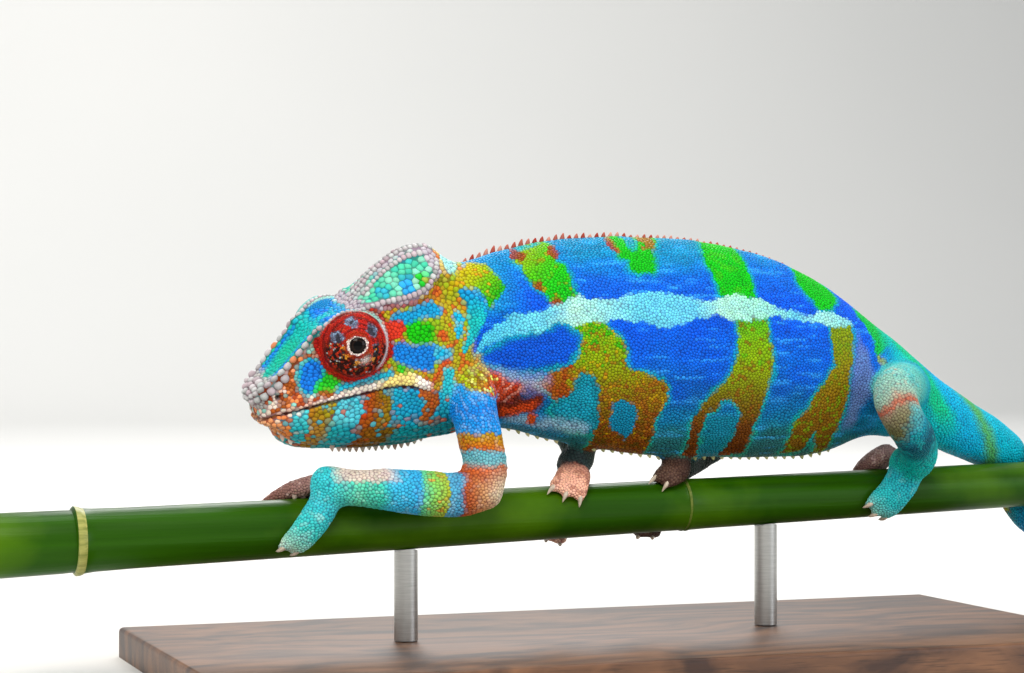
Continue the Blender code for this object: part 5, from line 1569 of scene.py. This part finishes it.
bark_dry = node(tree, "ShaderNodeMix", COLOUR_MIX, i0=(dry_soft, "Value"), i6=(bark_warm, "Result"),
                i7=linear("#c8c070"))
bark_relief = node(tree, "ShaderNodeBump", Height=(fibres, "Fac"), Strength=0.35, Distance=0.00025)
feed(tree, shader, Base_Color=(bark_dry, 2), Normal=(bark_relief, "Normal"), Roughness=0.3,
     Specular_IOR_Level=0.12)
# Pith as the saw leaves it: pale, dry and dotted with the cut ends of its fibres.
pith, tree, shader = material("sawn_pith")
pith_where = node(tree, "ShaderNodeTexCoord")
pith_dots = node(tree, "ShaderNodeTexVoronoi", Vector=(pith_where, "Object"), Scale=1300.0)
pith_colour = node(tree, "ShaderNodeMix", COLOUR_MIX, i0=(pith_dots, "Distance"), i6=linear("#8c9a50"),
                   i7=linear("#e4e6b8"))
feed(tree, shader, Base_Color=(pith_colour, 2), Roughness=0.75)
stem.data.materials.append(bark)
stem.data.materials.append(pith)
for face in stem.data.polygons:
    sawn = abs(face.normal.x) > 0.9 and not STEM_START + 10 < face.center.x / MM < STEM_END - 10
    face.material_index = int(sawn)
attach(stem, "root")
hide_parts("perch_stem")


# ---------------------------------------------------------------- stand
# A flat board of oiled walnut with rounded corners and an eased top edge, and two brushed steel rods
# let into it. Each rod's hollowed head carries the cane and is pinned from below.

bpy.ops.object.select_all(action="DESELECT")
base_low, base_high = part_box("stand_base")
base_size = Vector(base_high) - Vector(base_low)
bpy.ops.mesh.primitive_cube_add(size=1, location=(Vector(base_low) + Vector(base_high)) / 2)
board = bpy.context.object
board.name = board.data.name = "walnut_board"
board.scale = base_size
bpy.ops.object.transform_apply(location=True, rotation=False, scale=True)
# the upright corners are rounded first, then the edge round the top
for wide, steps, choose in (
        (10.0, 12, lambda a, b: abs(a.z - b.z) > 0.004),
        (1.3, 4, lambda a, b: min(a.z, b.z) > base_high[2] - 1e-5)):
    bpy.ops.object.mode_set(mode="EDIT")
    work = bmesh.from_edit_mesh(board.data)
    for e in work.edges:
        sharp = len(e.link_faces) == 2 and e.calc_face_angle(0) > 0.8
        e.select_set(choose(e.verts[0].co, e.verts[1].co) and sharp)
    bpy.ops.mesh.bevel(offset=wide * MM, segments=steps, affect="EDGES")
    bpy.ops.object.mode_set(mode="OBJECT")
bpy.ops.object.shade_smooth_by_angle(angle=math.radians(35))
# Walnut rubbed with oil: wavy dark and mid-brown grain along the board, with fine open pores.
walnut, tree, shader = material("oiled_walnut")
walnut_where = node(tree, "ShaderNodeTexCoord")
walnut_long = node(tree, "ShaderNodeMapping", Vector=(walnut_where, "Object"), Scale=(0.09, 1.0, 0.5))
walnut_bend = node(tree, "ShaderNodeTexNoise", Vector=(walnut_where, "Object"), Scale=9.0, Detail=2.0)
walnut_add = node(tree, "ShaderNodeMix", {"data_type": "RGBA", "blend_type": "ADD"}, i0=0.06,
                  i6=(walnut_long, "Vector"), i7=(walnut_bend, "Color"))
walnut_rings = node(tree, "ShaderNodeTexNoise", Vector=(walnut_add, "Result"), Scale=150.0, Detail=5.0)
walnut_pores = node(tree, "ShaderNodeMapping", Vector=(walnut_where, "Object"), Scale=(0.06, 1.0, 1.0))
walnut_fine = node(tree, "ShaderNodeTexNoise", Vector=(walnut_pores, "Vector"), Scale=1900.0, Detail=2.0)
walnut_tone = node(tree, "ShaderNodeMapRange", Value=(walnut_rings, "Fac"), From_Min=0.36, From_Max=0.64)
walnut_base = node(tree, "ShaderNodeMix", COLOUR_MIX, i0=(walnut_tone, "Result"), i6=linear("#3a2215"),
                   i7=linear("#7a5234"))
walnut_dark = node(tree, "ShaderNodeMapRange", Value=(walnut_fine, "Fac"), From_Min=0.28, From_Max=0.45,
                   To_Min=0.55, To_Max=1.0)
walnut_pored = node(tree, "ShaderNodeHueSaturation", Value=(walnut_dark, "Result"),
                    Color=(walnut_base, "Result"))
walnut_relief = node(tree, "ShaderNodeBump", Height=(walnut_fine, "Fac"), Strength=0.2, Distance=0.0002)
feed(tree, shader, Base_Color=(walnut_pored, "Color"), Normal=(walnut_relief, "Normal"), Roughness=0.42)
board.data.materials.clear()
board.data.materials.append(walnut)
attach(board, "root")
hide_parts("stand_base")

# Steel brushed round the rod: fine level lines that spread the highlight.
steel, tree, shader = material("brushed_steel")
steel_where = node(tree, "ShaderNodeTexCoord")
steel_long = node(tree, "ShaderNodeMapping", Vector=(steel_where, "Object"), Scale=(1.0, 1.0, 30.0))
steel_lines = node(tree, "ShaderNodeTexNoise", Vector=(steel_long, "Vector"), Scale=220.0, Detail=2.0)
steel_colour = node(tree, "ShaderNodeMix", COLOUR_MIX, i0=(steel_lines, "Fac"), i6=linear("#9a9a98"),
                    i7=linear("#c8c8c4"))
steel_rough = node(tree, "ShaderNodeMapRange", Value=(steel_lines, "Fac"), To_Min=0.24, To_Max=0.4)
feed(tree, shader, Base_Color=(steel_colour, 2), Roughness=(steel_rough, "Result"), Metallic=1.0)
ROD_RADIUS, ROD_SIDES, UNDER_BARK = 3.0, 48, 0.3
for rod_name, rod_x in (("stand_rod_front", -58.0), ("stand_rod_rear", 42.0)):
    (_, _, low_z), (_, _, high_z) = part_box(rod_name)
    rod_work = bmesh.new()
    rings = []
    for level in (low_z, low_z + 0.1 * MM, high_z):
        ring = []
        for a in np.linspace(0, 2 * math.pi, ROD_SIDES, endpoint=False):
            x, y = rod_x + ROD_RADIUS * math.cos(a), ROD_RADIUS * math.sin(a)
            z = level / MM
            if level == high_z:
                z = stem_z(x) - math.sqrt((stem_radius(x) + UNDER_BARK) ** 2 - y * y)
            ring.append(rod_work.verts.new(Vector((x, y, z)) * MM))
        rings.append(ring)
    for near, far in zip(rings, rings[1:]):
        ring_faces(rod_work, near, far)
    rod_work.faces.new(rings[0][::-1])
    middle = rod_work.verts.new(Vector((rod_x, 0, stem_z(rod_x) - stem_radius(rod_x) - UNDER_BARK)) * MM)
    for near, far in zip(rings[-1], rings[-1][1:] + rings[-1][:1]):
        rod_work.faces.new((near, far, middle))
    rod = object_from(rod_work, rod_name.replace("stand_", "steel_"))
    select_only(rod)
    bpy.ops.object.shade_smooth_by_angle(angle=math.radians(40))
    rod.data.materials.append(steel)
    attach(rod, "root")
    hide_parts(rod_name)

bpy.context.view_layer.update()
